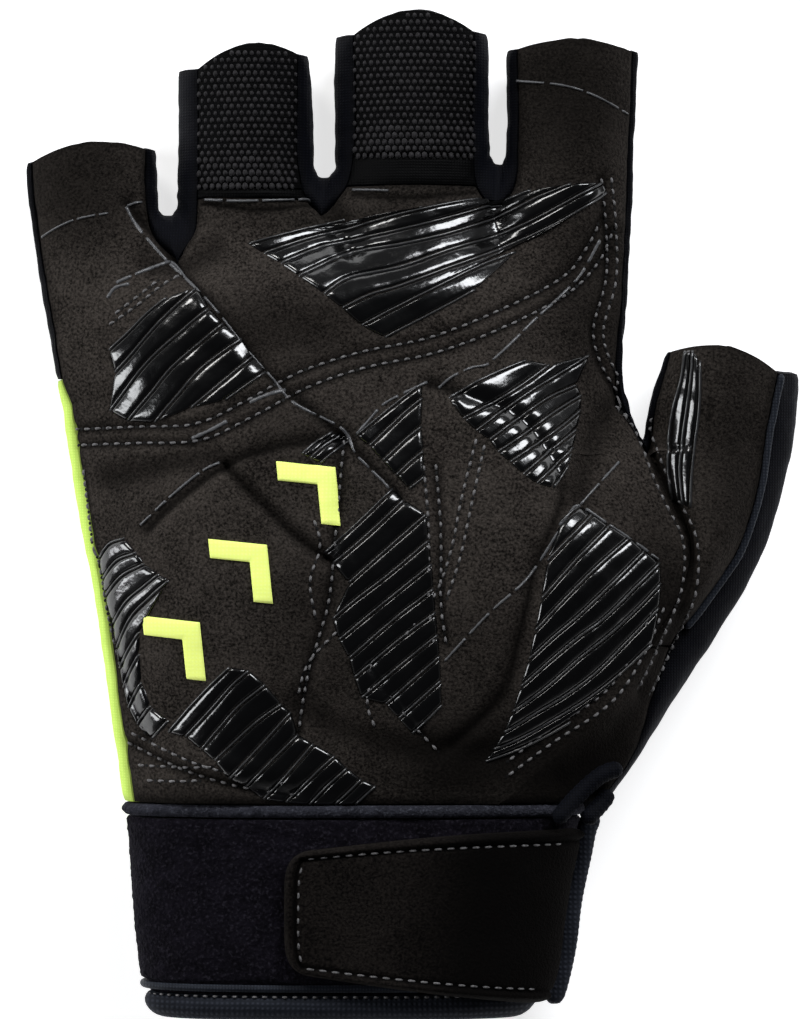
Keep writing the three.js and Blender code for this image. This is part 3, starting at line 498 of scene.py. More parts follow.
# Broad areas of painted shade, where the suede is darker: centre and half sizes as grid marks, share
PAINTED_SHADE_AREAS = [
    ((570, 95), (75, 105), 0.8),
    ((75, 180), (60, 70), 0.68),
    ((285, 330), (85, 38), 0.55),
    ((485, 670), (40, 70), 0.4),
    ((600, 290), (55, 95), 0.6),
    ((735, 470), (45, 150), 0.62),
    ((590, 770), (130, 75), 0.95),
    ((470, 755), (90, 60), 0.88),
    ((660, 640), (60, 110), 0.85),
    ((300, 806), (280, 22), 0.7),
    ((380, 215), (150, 22), 0.4),
    ((300, 440), (60, 40), 0.35),
    ((330, 640), (50, 90), 0.45),
]

# Cloth beside a channel: share of its depth, distance and half width in millimetres
BESIDE_RISE = 0.22
BESIDE_AWAY = 2.6
BESIDE_HALF = 1.6

# Painted shade in the creases of channels and folds, and how sharply the painted dark areas end
CREASE_WIDTH = 0.8
FOLD_CREASE = 0.7
DARK_STEEPNESS = 0.7
DARK_POWER = 1.3

# Unevenness of the cloth: height, seed and wave length in millimetres
UNEVEN = [(0.16, 3, 14.0), (0.05, 4, 3.2)]

# Puckers of the stretch cloth: height, added height at the crotch and how far that reaches, then the
# rates of a bent wave and a finer slanted one
PUCKER = 0.015
CROTCH_PUCKER = 0.05
CROTCH_REACH = 0.16
PUCKER_POWER = 0.7
PUCKER_RATE = 4.4
PUCKER_BEND = 1.2
PUCKER_TURN = 2.2
FINE_PUCKER = 0.6
FINE_PUCKER_RATE = 7.9
FINE_PUCKER_SLANT = 2.0

# Points between two marks of a curve, and the waves that unevenness is made of
CURVE_STEPS = 16
OCTAVE_WAVES = 5
OCTAVE_STEP = 1.9
OCTAVE_FADE = 1.6


def distance_to(points, line):
    """Distance in the plane from points to a polyline."""
    best = np.full(len(points), 1e9)
    for p, q in zip(line[:-1], line[1:]):
        step = q - p
        t = np.clip(((points - p) @ step) / (step @ step), 0, 1)
        best = np.minimum(best, np.linalg.norm(points - p - t[:, None] * step, axis=1))
    return best


def smooth_line(marks, spacing=1.0):
    """A smooth curve through points in the plane or in space, at an even spacing."""
    p = np.asarray(marks, float)
    if len(p) < 3:
        fine = p
    else:
        ext = np.vstack([2 * p[0] - p[1], p, 2 * p[-1] - p[-2]])
        t = np.linspace(0, 1, CURVE_STEPS, endpoint=False)[:, None]
        parts = []
        for a, b, c, d in zip(ext[:-3], ext[1:-2], ext[2:-1], ext[3:]):
            parts.append(0.5 * (2 * b + (c - a) * t + (2 * a - 5 * b + 4 * c - d) * t**2
                                + (3 * b - a - 3 * c + d) * t**3))
        fine = np.vstack(parts + [p[-1:]])
    length = np.concatenate([[0], np.cumsum(np.linalg.norm(np.diff(fine, axis=0), axis=1))])
    count = max(2, int(round(length[-1] / spacing)) + 1)
    s = np.linspace(0, length[-1], count)
    return np.stack([np.interp(s, length, fine[:, k]) for k in range(fine.shape[1])], 1)


def ripples(points, seed, wave, octaves=3):
    """Smooth even unevenness made of plain waves, about -1 to 1."""
    random = np.random.default_rng(seed)
    total = np.zeros(len(points))
    weight = 0.0
    for octave in range(octaves):
        for _ in range(OCTAVE_WAVES):
            direction = random.normal(size=points.shape[1])
            direction *= 2 * np.pi / (wave / OCTAVE_STEP**octave) / np.linalg.norm(direction)
            shift = random.uniform(0, 2 * np.pi)
            total += np.sin(points @ direction + shift) / OCTAVE_FADE**octave
        weight += OCTAVE_WAVES**0.5 / OCTAVE_FADE**octave
    return total / weight


def dress_net(net):
    """Press the channels and folds in, and note how much painted shade each point gets in creases and in
    the broad dark areas.
    """
    rise = np.zeros(len(net.points))
    crease = np.zeros(len(net.points))
    shade = np.zeros(len(net.points))
    palm = np.zeros(len(net.points), bool)
    for grid in net.palm:
        palm[grid.reshape(-1)] = True
    spots = np.flatnonzero(palm)
    flat = net.points[spots, :2]
    for half, depth, marks in CHANNELS:
        d = distance_to(flat, smooth_line(on_grid(marks)))
        rise[spots] -= depth * bell(d, half)
        rise[spots] += BESIDE_RISE * depth * bell(d - BESIDE_AWAY, BESIDE_HALF)
        crease[spots] = np.maximum(crease[spots], bell(d, CREASE_WIDTH * half))
    for half, height, marks in FOLDS:
        d = distance_to(flat, smooth_line(on_grid(marks)))
        rise[spots] += height * bell(d, half)
        if height < 0:
            crease[spots] = np.maximum(crease[spots], FOLD_CREASE * bell(d, half))
    marks = (flat - GRID_CORNER) / [STEP, -STEP]
    for centre, half, share in PAINTED_SHADE_AREAS:
        away = (((marks - centre) / half) ** 2).sum(1)
        shade[spots] = np.maximum(shade[spots], share * np.exp(-DARK_STEEPNESS * away**DARK_POWER))
    for height, seed, wave in UNEVEN:
        rise += height * ripples(net.points, seed, wave)
    for k, name in enumerate(WEB_NAMES + ["thumb_side"]):
        columns = net.band_columns[name]
        n = len(columns)
        station = np.arange(n)[:, None]
        s = station / net.fine
        t = np.linspace(0, 1, columns.shape[1])[None, :]
        bend = PUCKER_BEND * np.sin(PUCKER_TURN * t + k)
        wave = np.sin(PUCKER_RATE * s + bend + k)
        wave = wave + FINE_PUCKER * np.sin(FINE_PUCKER_RATE * s + FINE_PUCKER_SLANT * t + 2 * k)
        crotch = 0.0 if name == "thumb_side" else CROTCH_PUCKER
        height = PUCKER + crotch * bell(station / (n - 1) - 0.5, CROTCH_REACH)
        rise[columns.reshape(-1)] += (height * np.sin(np.pi * t) ** PUCKER_POWER * wave).reshape(-1)
    net.points = net.points + net.normals * rise[:, None]
    net.points[:, 2] = np.maximum(net.points[:, 2], FLOOR_CLEAR)
    net.normals = net.outward()
    net.crease = crease
    net.shade = shade
    return net


def make_mesh(name, vertices, faces, material, sharp=55, attributes=None):
    mesh = bpy.data.meshes.new(name)
    mesh.from_pydata((np.asarray(vertices) * MM).tolist(), [], [list(map(int, f)) for f in faces])
    mesh.validate()
    mesh.polygons.foreach_set("use_smooth", [True] * len(mesh.polygons))
    mesh.set_sharp_from_angle(angle=math.radians(sharp))
    for label, values in (attributes or {}).items():
        layer = mesh.attributes.new(label, "FLOAT", "POINT")
        layer.data.foreach_set("value", np.asarray(values, np.float32))
    mesh.materials.append(material)
    mesh.update()
    piece = bpy.data.objects.new(name, mesh)
    bpy.context.scene.collection.objects.link(piece)
    return piece


def settle(piece, slot, *nodes):
    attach(piece, "root")
    if nodes:
        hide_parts(*nodes)
    return piece


# Sewn edge of a cloth piece: reach of its rounding, and of the shade beside it, in millimetres
ROLL_REACH = 0.55
ROLL_POWER = 1.6
SEAM_SHADE = 0.9


def cloth_shell(net, piece, thickness, roll):
    """Vertices, faces and attributes of one cloth piece: its cells, rolled in at the sewn edge."""
    quads = net.quads[net.names == piece]
    edges = np.concatenate([quads[:, [k, (k + 1) % 4]] for k in range(4)])
    size = len(net.points)
    key = edges[:, 0] * size + edges[:, 1]
    border = edges[~np.isin(key, edges[:, 1] * size + edges[:, 0])]
    step = unit(net.points[border[:, 1]] - net.points[border[:, 0]])
    pull = np.zeros_like(net.points)
    for k in (0, 1):
        np.add.at(pull, border[:, k], unit(np.cross(net.normals[border[:, k]], step)))
    used, local = np.unique(quads, return_inverse=True)
    local = local.reshape(quads.shape)
    n = len(used)
    square = (pull[used] ** 2).sum(1)
    on_border = square > 0
    grow = (pull[used] / np.maximum(SHARPEST_CORNER, square)[:, None])[on_border]
    normals = net.normals[used]
    outer = net.points[used].copy()
    outer[on_border] += grow * SEAM_GAP
    inner = net.points[used] - normals * thickness
    inner[on_border] -= grow * SEAM_LAP
    rim = outer[on_border]
    tree = KDTree(len(rim))
    for k, p in enumerate(rim):
        tree.insert(p, k)
    tree.balance()
    gap = np.array([tree.find(p)[2] for p in outer])
    rolled = outer - normals * (roll * np.exp(-((gap / ROLL_REACH) ** ROLL_POWER)))[:, None]
    number = np.full(size, -1)
    number[used] = np.arange(n)
    p, q = number[border[:, 0]], number[border[:, 1]]
    faces = np.concatenate([local, local[:, ::-1] + n, np.stack([p, p + n, q + n, q], 1)])
    vertices = np.concatenate([rolled, inner])
    vertices[:, 2] = np.maximum(vertices[:, 2], FLOOR_CLEAR)
    # Painted shade: in creases, along the sewn edge and in the broad dark areas
    attributes = {
        "crease": np.concatenate([net.crease[used], np.zeros(n)]),
        "seam": np.tile(bell(gap, SEAM_SHADE), 2),
        "shade": np.tile(net.shade[used], 2),
    }
    return vertices, faces, attributes


class Looks:
    """Node tree of a material or the world, with the kinds of node that the looks are made of."""

    def __init__(self, owner):
        owner.use_nodes = True
        self.owner = owner
        self.nodes = owner.node_tree.nodes
        self.links = owner.node_tree.links

    def start(self):
        """Its surface node and the coordinate that its patterns follow."""
        return self.nodes["Principled BSDF"], self.place("Object")

    def place(self, kind):
        return self.nodes.new("ShaderNodeTexCoord").outputs[kind]

    def attribute(self, name):
        node = self.nodes.new("ShaderNodeAttribute")
        node.attribute_name = name
        return node.outputs["Fac"]

    def noise(self, place, scale, detail=4.0, rough=0.6):
        node = self.nodes.new("ShaderNodeTexNoise")
        node.inputs["Scale"].default_value = scale
        node.inputs["Detail"].default_value = detail
        node.inputs["Roughness"].default_value = rough
        self.links.new(place, node.inputs["Vector"])
        return node.outputs["Fac"]

    def ramp(self, value, stops):
        node = self.nodes.new("ShaderNodeValToRGB")
        while len(node.color_ramp.elements) < len(stops):
            node.color_ramp.elements.new(0.5)
        for element, (position, colour) in zip(node.color_ramp.elements, stops):
            element.position = position
            element.color = (*colour, 1)
        self.links.new(value, node.inputs["Fac"])
        return node.outputs["Color"]

    def mix(self, colour, other, factor):
        node = self.nodes.new("ShaderNodeMix")
        node.data_type = "RGBA"
        first, second = (s for s in node.inputs if s.name in ("A", "B") and s.type == "RGBA")
        self.links.new(colour, first)
        second.default_value = (*other, 1)
        self.links.new(factor, node.inputs["Factor"])
        return next(s for s in node.outputs if s.type == "RGBA")

    def calc(self, kind, a, b, clamp=False):
        node = self.nodes.new("ShaderNodeMath")
        node.operation = kind
        node.use_clamp = clamp
        self.links.new(a, node.inputs[0])
        if isinstance(b, float):
            node.inputs[1].default_value = b
        else:
            self.links.new(b, node.inputs[1])
        return node.outputs[0]

    def times(self, value, share, clamp=False):
        return self.calc("MULTIPLY", value, share, clamp)

    def blend(self, a, b, share):
        return self.calc("ADD", self.times(a, share), self.times(b, 1 - share))

    def bump(self, bsdf, layers):
        """Chained bumps: height socket, strength, distance in millimetres."""
        normal = None
        for height, strength, distance in layers:
            node = self.nodes.new("ShaderNodeBump")
            node.inputs["Strength"].default_value = strength
            node.inputs["Distance"].default_value = distance * MM
            self.links.new(height, node.inputs["Height"])
            if normal is not None:
                self.links.new(normal, node.inputs["Normal"])
            normal = node.outputs["Normal"]
        self.links.new(normal, bsdf.inputs["Normal"])


def dimmed(colour, share):
    return tuple(share * c for c in colour)


def suede(name, dark, light, sheen):
    """Napped suede, with painted shade in creases, along seams and in the broad dark areas."""
    looks = Looks(bpy.data.materials.new(name))
    bsdf, place = looks.start()
    mottle = looks.noise(place, scale=2300.0, detail=2.5)
    broad = looks.noise(place, scale=100.0, detail=3.0, rough=0.5)
    nap = looks.noise(place, scale=3200.0, detail=3.0, rough=0.7)
    colour = looks.ramp(looks.blend(mottle, broad, share=0.74), [(0.37, dark), (0.64, light)])
    # Painted shade: darker in creases, along seams and in the broad dark areas
    deep = looks.calc("MAXIMUM", looks.attribute("crease"), looks.times(looks.attribute("seam"), 0.7))
    colour = looks.mix(colour, dimmed(dark, 0.35), looks.times(deep, 0.9, True))
    colour = looks.mix(colour, dimmed(dark, 0.5), looks.attribute("shade"))
    looks.links.new(colour, bsdf.inputs["Base Color"])
    bsdf.inputs["Roughness"].default_value = 0.95
    bsdf.inputs["Specular IOR Level"].default_value = 0.05
    bsdf.inputs["Sheen Weight"].default_value = sheen
    bsdf.inputs["Sheen Roughness"].default_value = 0.55
    bsdf.inputs["Sheen Tint"].default_value = (0.55, 0.47, 0.42, 1)
    looks.bump(bsdf, [(mottle, 0.5, 0.5), (nap, 0.5, 0.16)])
    return looks.owner


def knit(name, dark, light, sheen, rough=0.7, tint=(0.4, 0.45, 0.7), pitch=0.45, weight=0.5,
         painted_glow=0.0):
    """Fine ribbed stretch cloth, with the pitch of its ribs in millimetres."""
    looks = Looks(bpy.data.materials.new(name))
    bsdf, place = looks.start()
    waves = []
    for direction in ("X", "Y"):
        wave = looks.nodes.new("ShaderNodeTexWave")
        wave.bands_direction = direction
        wave.inputs["Scale"].default_value = 2 * math.pi / (20 * pitch * MM)
        wave.inputs["Distortion"].default_value = 1.2
        wave.inputs["Detail"].default_value = 1.0
        looks.links.new(place, wave.inputs["Vector"])
        waves.append(wave.outputs["Fac"])
    weave = looks.times(waves[0], waves[1])
    broad = looks.noise(place, scale=160.0)
    fine = looks.noise(place, scale=2400.0, detail=3.0)
    colour = looks.ramp(looks.blend(weave, broad, share=0.45), [(0.2, dark), (0.75, light)])
    # Painted shade along the sewn edges
    colour = looks.mix(colour, dimmed(dark, 0.4), looks.times(looks.attribute("seam"), 0.6, True))
    looks.links.new(colour, bsdf.inputs["Base Color"])
    bsdf.inputs["Roughness"].default_value = rough
    bsdf.inputs["Specular IOR Level"].default_value = 0.06
    bsdf.inputs["Sheen Weight"].default_value = sheen
    bsdf.inputs["Sheen Roughness"].default_value = 0.4
    bsdf.inputs["Sheen Tint"].default_value = (*tint, 1)
    # Painted light: emission makes the cloth glow brighter than the lamps light it
    if painted_glow:
        bsdf.inputs["Emission Color"].default_value = (*light, 1)
        bsdf.inputs["Emission Strength"].default_value = painted_glow
    looks.bump(bsdf, [(weave, weight, 0.12), (fine, 0.4, 0.08)])
    return looks.owner


def pile(name, dark, light, speck, scale=1500.0):
    """Fleecy looped cloth with lighter specks."""
    looks = Looks(bpy.data.materials.new(name))
    bsdf, place = looks.start()
    loops = looks.nodes.new("ShaderNodeTexVoronoi")
    loops.inputs["Scale"].default_value = scale
    looks.links.new(place, loops.inputs["Vector"])
    broad = looks.noise(place, scale=260.0, detail=5.0, rough=0.65)
    fine = looks.noise(place, scale=1900.0, detail=4.0, rough=0.7)
    colour = looks.ramp(broad, [(0.3, dark), (0.7, light)])
    speckle = looks.ramp(fine, [(0.52, (0, 0, 0)), (0.68, (1, 1, 1))])
    colour = looks.mix(colour, speck, looks.times(speckle, 0.6, True))
    looks.links.new(colour, bsdf.inputs["Base Color"])
    bsdf.inputs["Roughness"].default_value = 0.95
    bsdf.inputs["Specular IOR Level"].default_value = 0.04
    bsdf.inputs["Sheen Weight"].default_value = 0.05
    bsdf.inputs["Sheen Roughness"].default_value = 0.5
    bsdf.inputs["Sheen Tint"].default_value = (0.5, 0.48, 0.62, 1)
    looks.bump(bsdf, [(fine, 0.7, 0.35), (loops.outputs["Distance"], 0.6, 0.3)])
    return looks.owner


def gloss(name, colour, rough, shine=0.5):
    """Moulded rubbery print with faint unevenness."""
    looks = Looks(bpy.data.materials.new(name))
    bsdf, place = looks.start()
    broad = looks.noise(place, scale=300.0, detail=3.0)
    fine = looks.noise(place, scale=1800.0, detail=3.0)
    tone = looks.ramp(broad, [(0.3, dimmed(colour, 0.75)), (0.7, colour)])
    looks.links.new(tone, bsdf.inputs["Base Color"])
    worn = looks.nodes.new("ShaderNodeMapRange")
    worn.inputs["To Min"].default_value = rough * 0.8
    worn.inputs["To Max"].default_value = rough * 1.35
    looks.links.new(broad, worn.inputs["Value"])
    looks.links.new(worn.outputs["Result"], bsdf.inputs["Roughness"])
    bsdf.inputs["Specular IOR Level"].default_value = shine
    looks.bump(bsdf, [(broad, 0.4, 0.3), (fine, 0.1, 0.06)])
    return looks.owner


def thread(name, dark, light):
    looks = Looks(bpy.data.materials.new(name))
    bsdf, place = looks.start()
    twist = looks.noise(place, scale=2600.0, detail=3.0)
    looks.links.new(looks.ramp(twist, [(0.3, dark), (0.7, light)]), bsdf.inputs["Base Color"])
    bsdf.inputs["Roughness"].default_value = 0.6
    bsdf.inputs["Specular IOR Level"].default_value = 0.15
    bsdf.inputs["Sheen Weight"].default_value = 0.05
    looks.bump(bsdf, [(twist, 0.5, 0.08)])
    return looks.owner


SUEDE = suede("suede_palm", (0.005, 0.0042, 0.0036), (0.055, 0.047, 0.041), 0.04)
STRAP_SUEDE = suede("suede_strap", (0.0016, 0.0013, 0.0013), (0.015, 0.0126, 0.0112), 0.02)
STRETCH = knit("stretch_navy", (0.0012, 0.0013, 0.0024), (0.004, 0.0046, 0.008), sheen=0.02)
# Near black cloth of the bands below the finger mesh: partly a black under layer, partly painted shade of
# the gap below the raised mesh edge
BLACK_ELASTIC_AND_SHADE = knit("elastic_black_and_shade", (0.0006, 0.0006, 0.0007), (0.002, 0.002, 0.0024), rough=0.6, sheen=0.01)
MESH_BASE = knit("mesh_ground", (0.001, 0.001, 0.0011), (0.004, 0.0038, 0.0045), rough=0.8, sheen=0.01)
MESH_KNOT = thread("mesh_yarn", (0.006, 0.0056, 0.006), (0.03, 0.028, 0.031))
# Both neon cloths glow with painted light
NEON = knit("neon_stretch", (0.54, 0.78, 0.12), (0.69, 0.93, 0.2), sheen=0.1, tint=(1, 1, 0.6),
            weight=0.3, painted_glow=0.12)
NEON_PRINT = knit("neon_print", (0.76, 0.88, 0.19), (0.86, 0.97, 0.27), rough=0.6, sheen=0.05,
                  tint=(1, 1, 0.6), pitch=0.6, weight=0.1, painted_glow=0.3)
LOOP = pile("loop_band", (0.0015, 0.0012, 0.002), (0.0065, 0.0055, 0.009), (0.03, 0.027, 0.037))
FLEECE = pile("fleece_edge", (0.01, 0.0105, 0.014), (0.034, 0.035, 0.046), (0.085, 0.09, 0.11), 2600.0)
SLATE = knit("slate_binding", (0.01, 0.0115, 0.0155), (0.032, 0.036, 0.048), rough=0.75,
             sheen=0.03, tint=(0.5, 0.6, 0.8), pitch=0.8, weight=0.8)
FOLD_CLOTH = knit("fold_navy", (0.0015, 0.0017, 0.0028), (0.006, 0.007, 0.011), rough=0.75, sheen=0.02)
PIPING = knit("piping_satin", (0.01, 0.0115, 0.016), (0.034, 0.039, 0.05), rough=0.45,
              sheen=0.05, tint=(0.6, 0.7, 0.9), pitch=0.5, weight=0.4)
SILICONE = gloss("silicone_print", (0.0016, 0.0017, 0.0019), rough=0.17, shine=0.85)
# Same silicone as the bars, coloured lighter: painted light for the light that catches the rounded ridge
# tops
SILICONE_RIDGE_PAINTED_LIGHT = gloss("silicone_ridge_painted_light", (0.022, 0.0225, 0.024), rough=0.28, shine=0.85)
SILICONE_LINE = gloss("silicone_line", (0.1, 0.102, 0.108), rough=0.3)
THREAD = thread("stitch_thread", (0.05, 0.048, 0.048), (0.22, 0.215, 0.22))
# Near black painted shade for the stitch holes
HOLE_SHADE = thread("stitch_hole_shade", (0.0008, 0.0007, 0.0007), (0.0016, 0.0014, 0.0014))

net = dress_net(Net(fine=9, band_fine=6))
back_net = dress_net(Net(fine=3, band_fine=2))

# Cloth pieces: name, cloth, material, slot, depth in millimetres that the sewn edge rolls in by
PIECES = [
    ("palm_panel", "palm", SUEDE, "suede", 0.35),
    ("thumb_panel", "palm", SUEDE, "suede", 0.35),
    # Bands below the mesh: black under layer and painted shade of the gap
    ("ring_band", "band", BLACK_ELASTIC_AND_SHADE, "black_elastic", 0.2),
    ("middle_band", "band", BLACK_ELASTIC_AND_SHADE, "black_elastic", 0.2),
    ("ring_mesh", "mesh", MESH_BASE, "knit_mesh", 0.2),
    ("middle_mesh", "mesh", MESH_BASE, "knit_mesh", 0.2),
    ("thumb_side_panel", "stretch", STRETCH, "stretch_fabric", 0.25),
    ("neon_side_panel", "stretch", NEON, "neon_fabric", 0.25),
    ("little_side_strip", "stretch", STRETCH, "stretch_fabric", 0.25),
    ("web_little_ring", "stretch", STRETCH, "stretch_fabric", 0.25),
    ("web_ring_middle", "stretch", STRETCH, "stretch_fabric", 0.25),
    ("web_middle_index", "stretch", STRETCH, "stretch_fabric", 0.25),
    ("web_index_thumb", "stretch", STRETCH, "stretch_fabric", 0.25),
    ("back_panel", "back", STRETCH, "stretch_fabric", 0.25),
]
for name, cloth, material, slot, roll in PIECES:
    source = back_net if name == "back_panel" else net
    vertices, faces, attributes = cloth_shell(source, name, CLOTH[cloth], roll)
    piece = make_mesh(name + "_cloth", vertices, faces, material, attributes=attributes)
    settle(piece, slot, name)

# The palm side as one surface to lay prints and stitches on
TOP_PIECES = ["palm_panel", "thumb_panel", "ring_band", "middle_band", "ring_mesh", "middle_mesh"]
top_quads = net.quads[np.isin(net.names, TOP_PIECES)]
top_tree = BVHTree.FromPolygons([Vector(p) for p in net.points], top_quads.tolist())
ABOVE_ALL = 100.0
PALM_LEVEL = 12.0
PATH_STEP = 0.2


def drop(x, y):
    """Point and upward normal of the palm side under a place in the plane."""
    hit, normal, _, _ = top_tree.ray_cast(Vector((x, y, ABOVE_ALL)), Vector((0, 0, -1)))
    if hit is None:
        hit, normal, _, _ = top_tree.find_nearest(Vector((x, y, PALM_LEVEL)))
    if normal.z < 0:
        normal = -normal
    return np.array(hit), np.array(normal)


def evened_drop(x, y, reach=0.6):
    """Point and evened normal, from a few drops round the place."""
    point, total = drop(x, y)
    for dx, dy in ((reach, 0), (-reach, 0), (0, reach), (0, -reach)):
        total = total + drop(x + dx, y + dy)[1]
    return point, unit(total)


def flat_ring(normal, count):
    """Directions round a normal, and square to it."""
    side = unit(np.cross(normal, (0.0, 1.0, 0.0)))
    up = np.cross(side, normal)
    angle = 2 * np.pi * np.arange(count)[:, None] / count
    return side * np.cos(angle), up * np.sin(angle)


def row_faces(rows, columns, is_ring=False, turned=False):
    """Faces of rows or rings of points, with both ends closed."""
    index = np.arange(rows * columns).reshape(rows, columns)
    ends = [index[0, ::-1].tolist(), index[-1].tolist()]
    if is_ring:
        index = np.pad(index, ((0, 0), (0, 1)), "wrap")
    if turned:
        ends = [end[::-1] for end in ends]
    return grid_faces(index, turned).reshape(-1, 4).tolist() + ends


def plate_faces(rows, columns, turned=False):
    """Faces of an upper and a lower grid of points and of the rim between them."""
    index = np.arange(rows * columns).reshape(rows, columns)
    top = grid_faces(index).reshape(-1, 4)
    loop = np.concatenate([index[0, :], index[1:, -1], index[-1, -2::-1], index[-2:0:-1, 0]])
    after = np.roll(loop, -1)
    n = index.size
    faces = np.concatenate([top, top[:, ::-1] + n, np.stack([loop, loop + n, after + n, after], 1)])
    return faces[:, ::-1] if turned else faces


class Batch:
    """Many small shapes in one mesh."""

    def __init__(self):
        self.vertices = []
        self.faces = []

    def add(self, vertices, faces):
        first = len(self.vertices)
        self.vertices.extend(vertices)
        self.faces.extend([k + first for k in face] for face in faces)

    def settle(self, name, material, slot, *nodes, sharp=75):
        return settle(make_mesh(name, self.vertices, self.faces, material, sharp), slot, *nodes)


# Sections of raised strips: place across from -1 to 1, share of the height
WIDE = [(1.0, -0.25), (0.97, 0.62), (0.8, 0.95), (0.35, 1.03), (-0.35, 1.03), (-0.8, 0.95),
        (-0.97, 0.62), (-1.0, -0.25)]
ROUND = [(-1.0, -0.3), (-0.9, 0.4), (-0.55, 0.85), (0.0, 1.0), (0.55, 0.85), (0.9, 0.4), (1.0, -0.3)]
RIBBON_END_LIFT = 0.1
RIBBON_END_TAPER = 0.92
STRIP_END_LIFT = 0.25


def raised(places, profile, height, end_lift, base):
    """Points above the palm side for rows of places, with the first and last row lower."""
    vertices = []
    for k, row in enumerate(places):
        lift = end_lift if k in (0, len(places) - 1) else 1.0
        for place, (_, share) in zip(row, profile):
            point, normal = drop(*place)
            vertices.append(point + normal * (base + height * (share if share < 0 else share * lift)))
    return vertices


def ribbon(path, half_width, height, profile):
    """A raised strip along a path in the plane: vertices and faces."""
    tangent = unit(np.gradient(path, axis=0))
    side = np.stack([-tangent[:, 1], tangent[:, 0]], 1) * half_width[:, None]
    side[[0, -1]] *= RIBBON_END_TAPER
    offset = np.array(profile)[:, 0]
    places = path[:, None] + side[:, None] * offset[None, :, None]
    vertices = raised(places, profile, height, RIBBON_END_LIFT, 0.0)
    return vertices, row_faces(len(path), len(profile), turned=True)


def strip(first, second, height, profile, base=0.0):
    """A raised strip between two edges that have the same number of points."""
    offset = np.array(profile)[:, 0]
    places = lerp(first[:, None], second[:, None], (offset[None, :, None] + 1) / 2)
    return raised(places, profile, height, STRIP_END_LIFT, base), row_faces(len(first), len(profile))


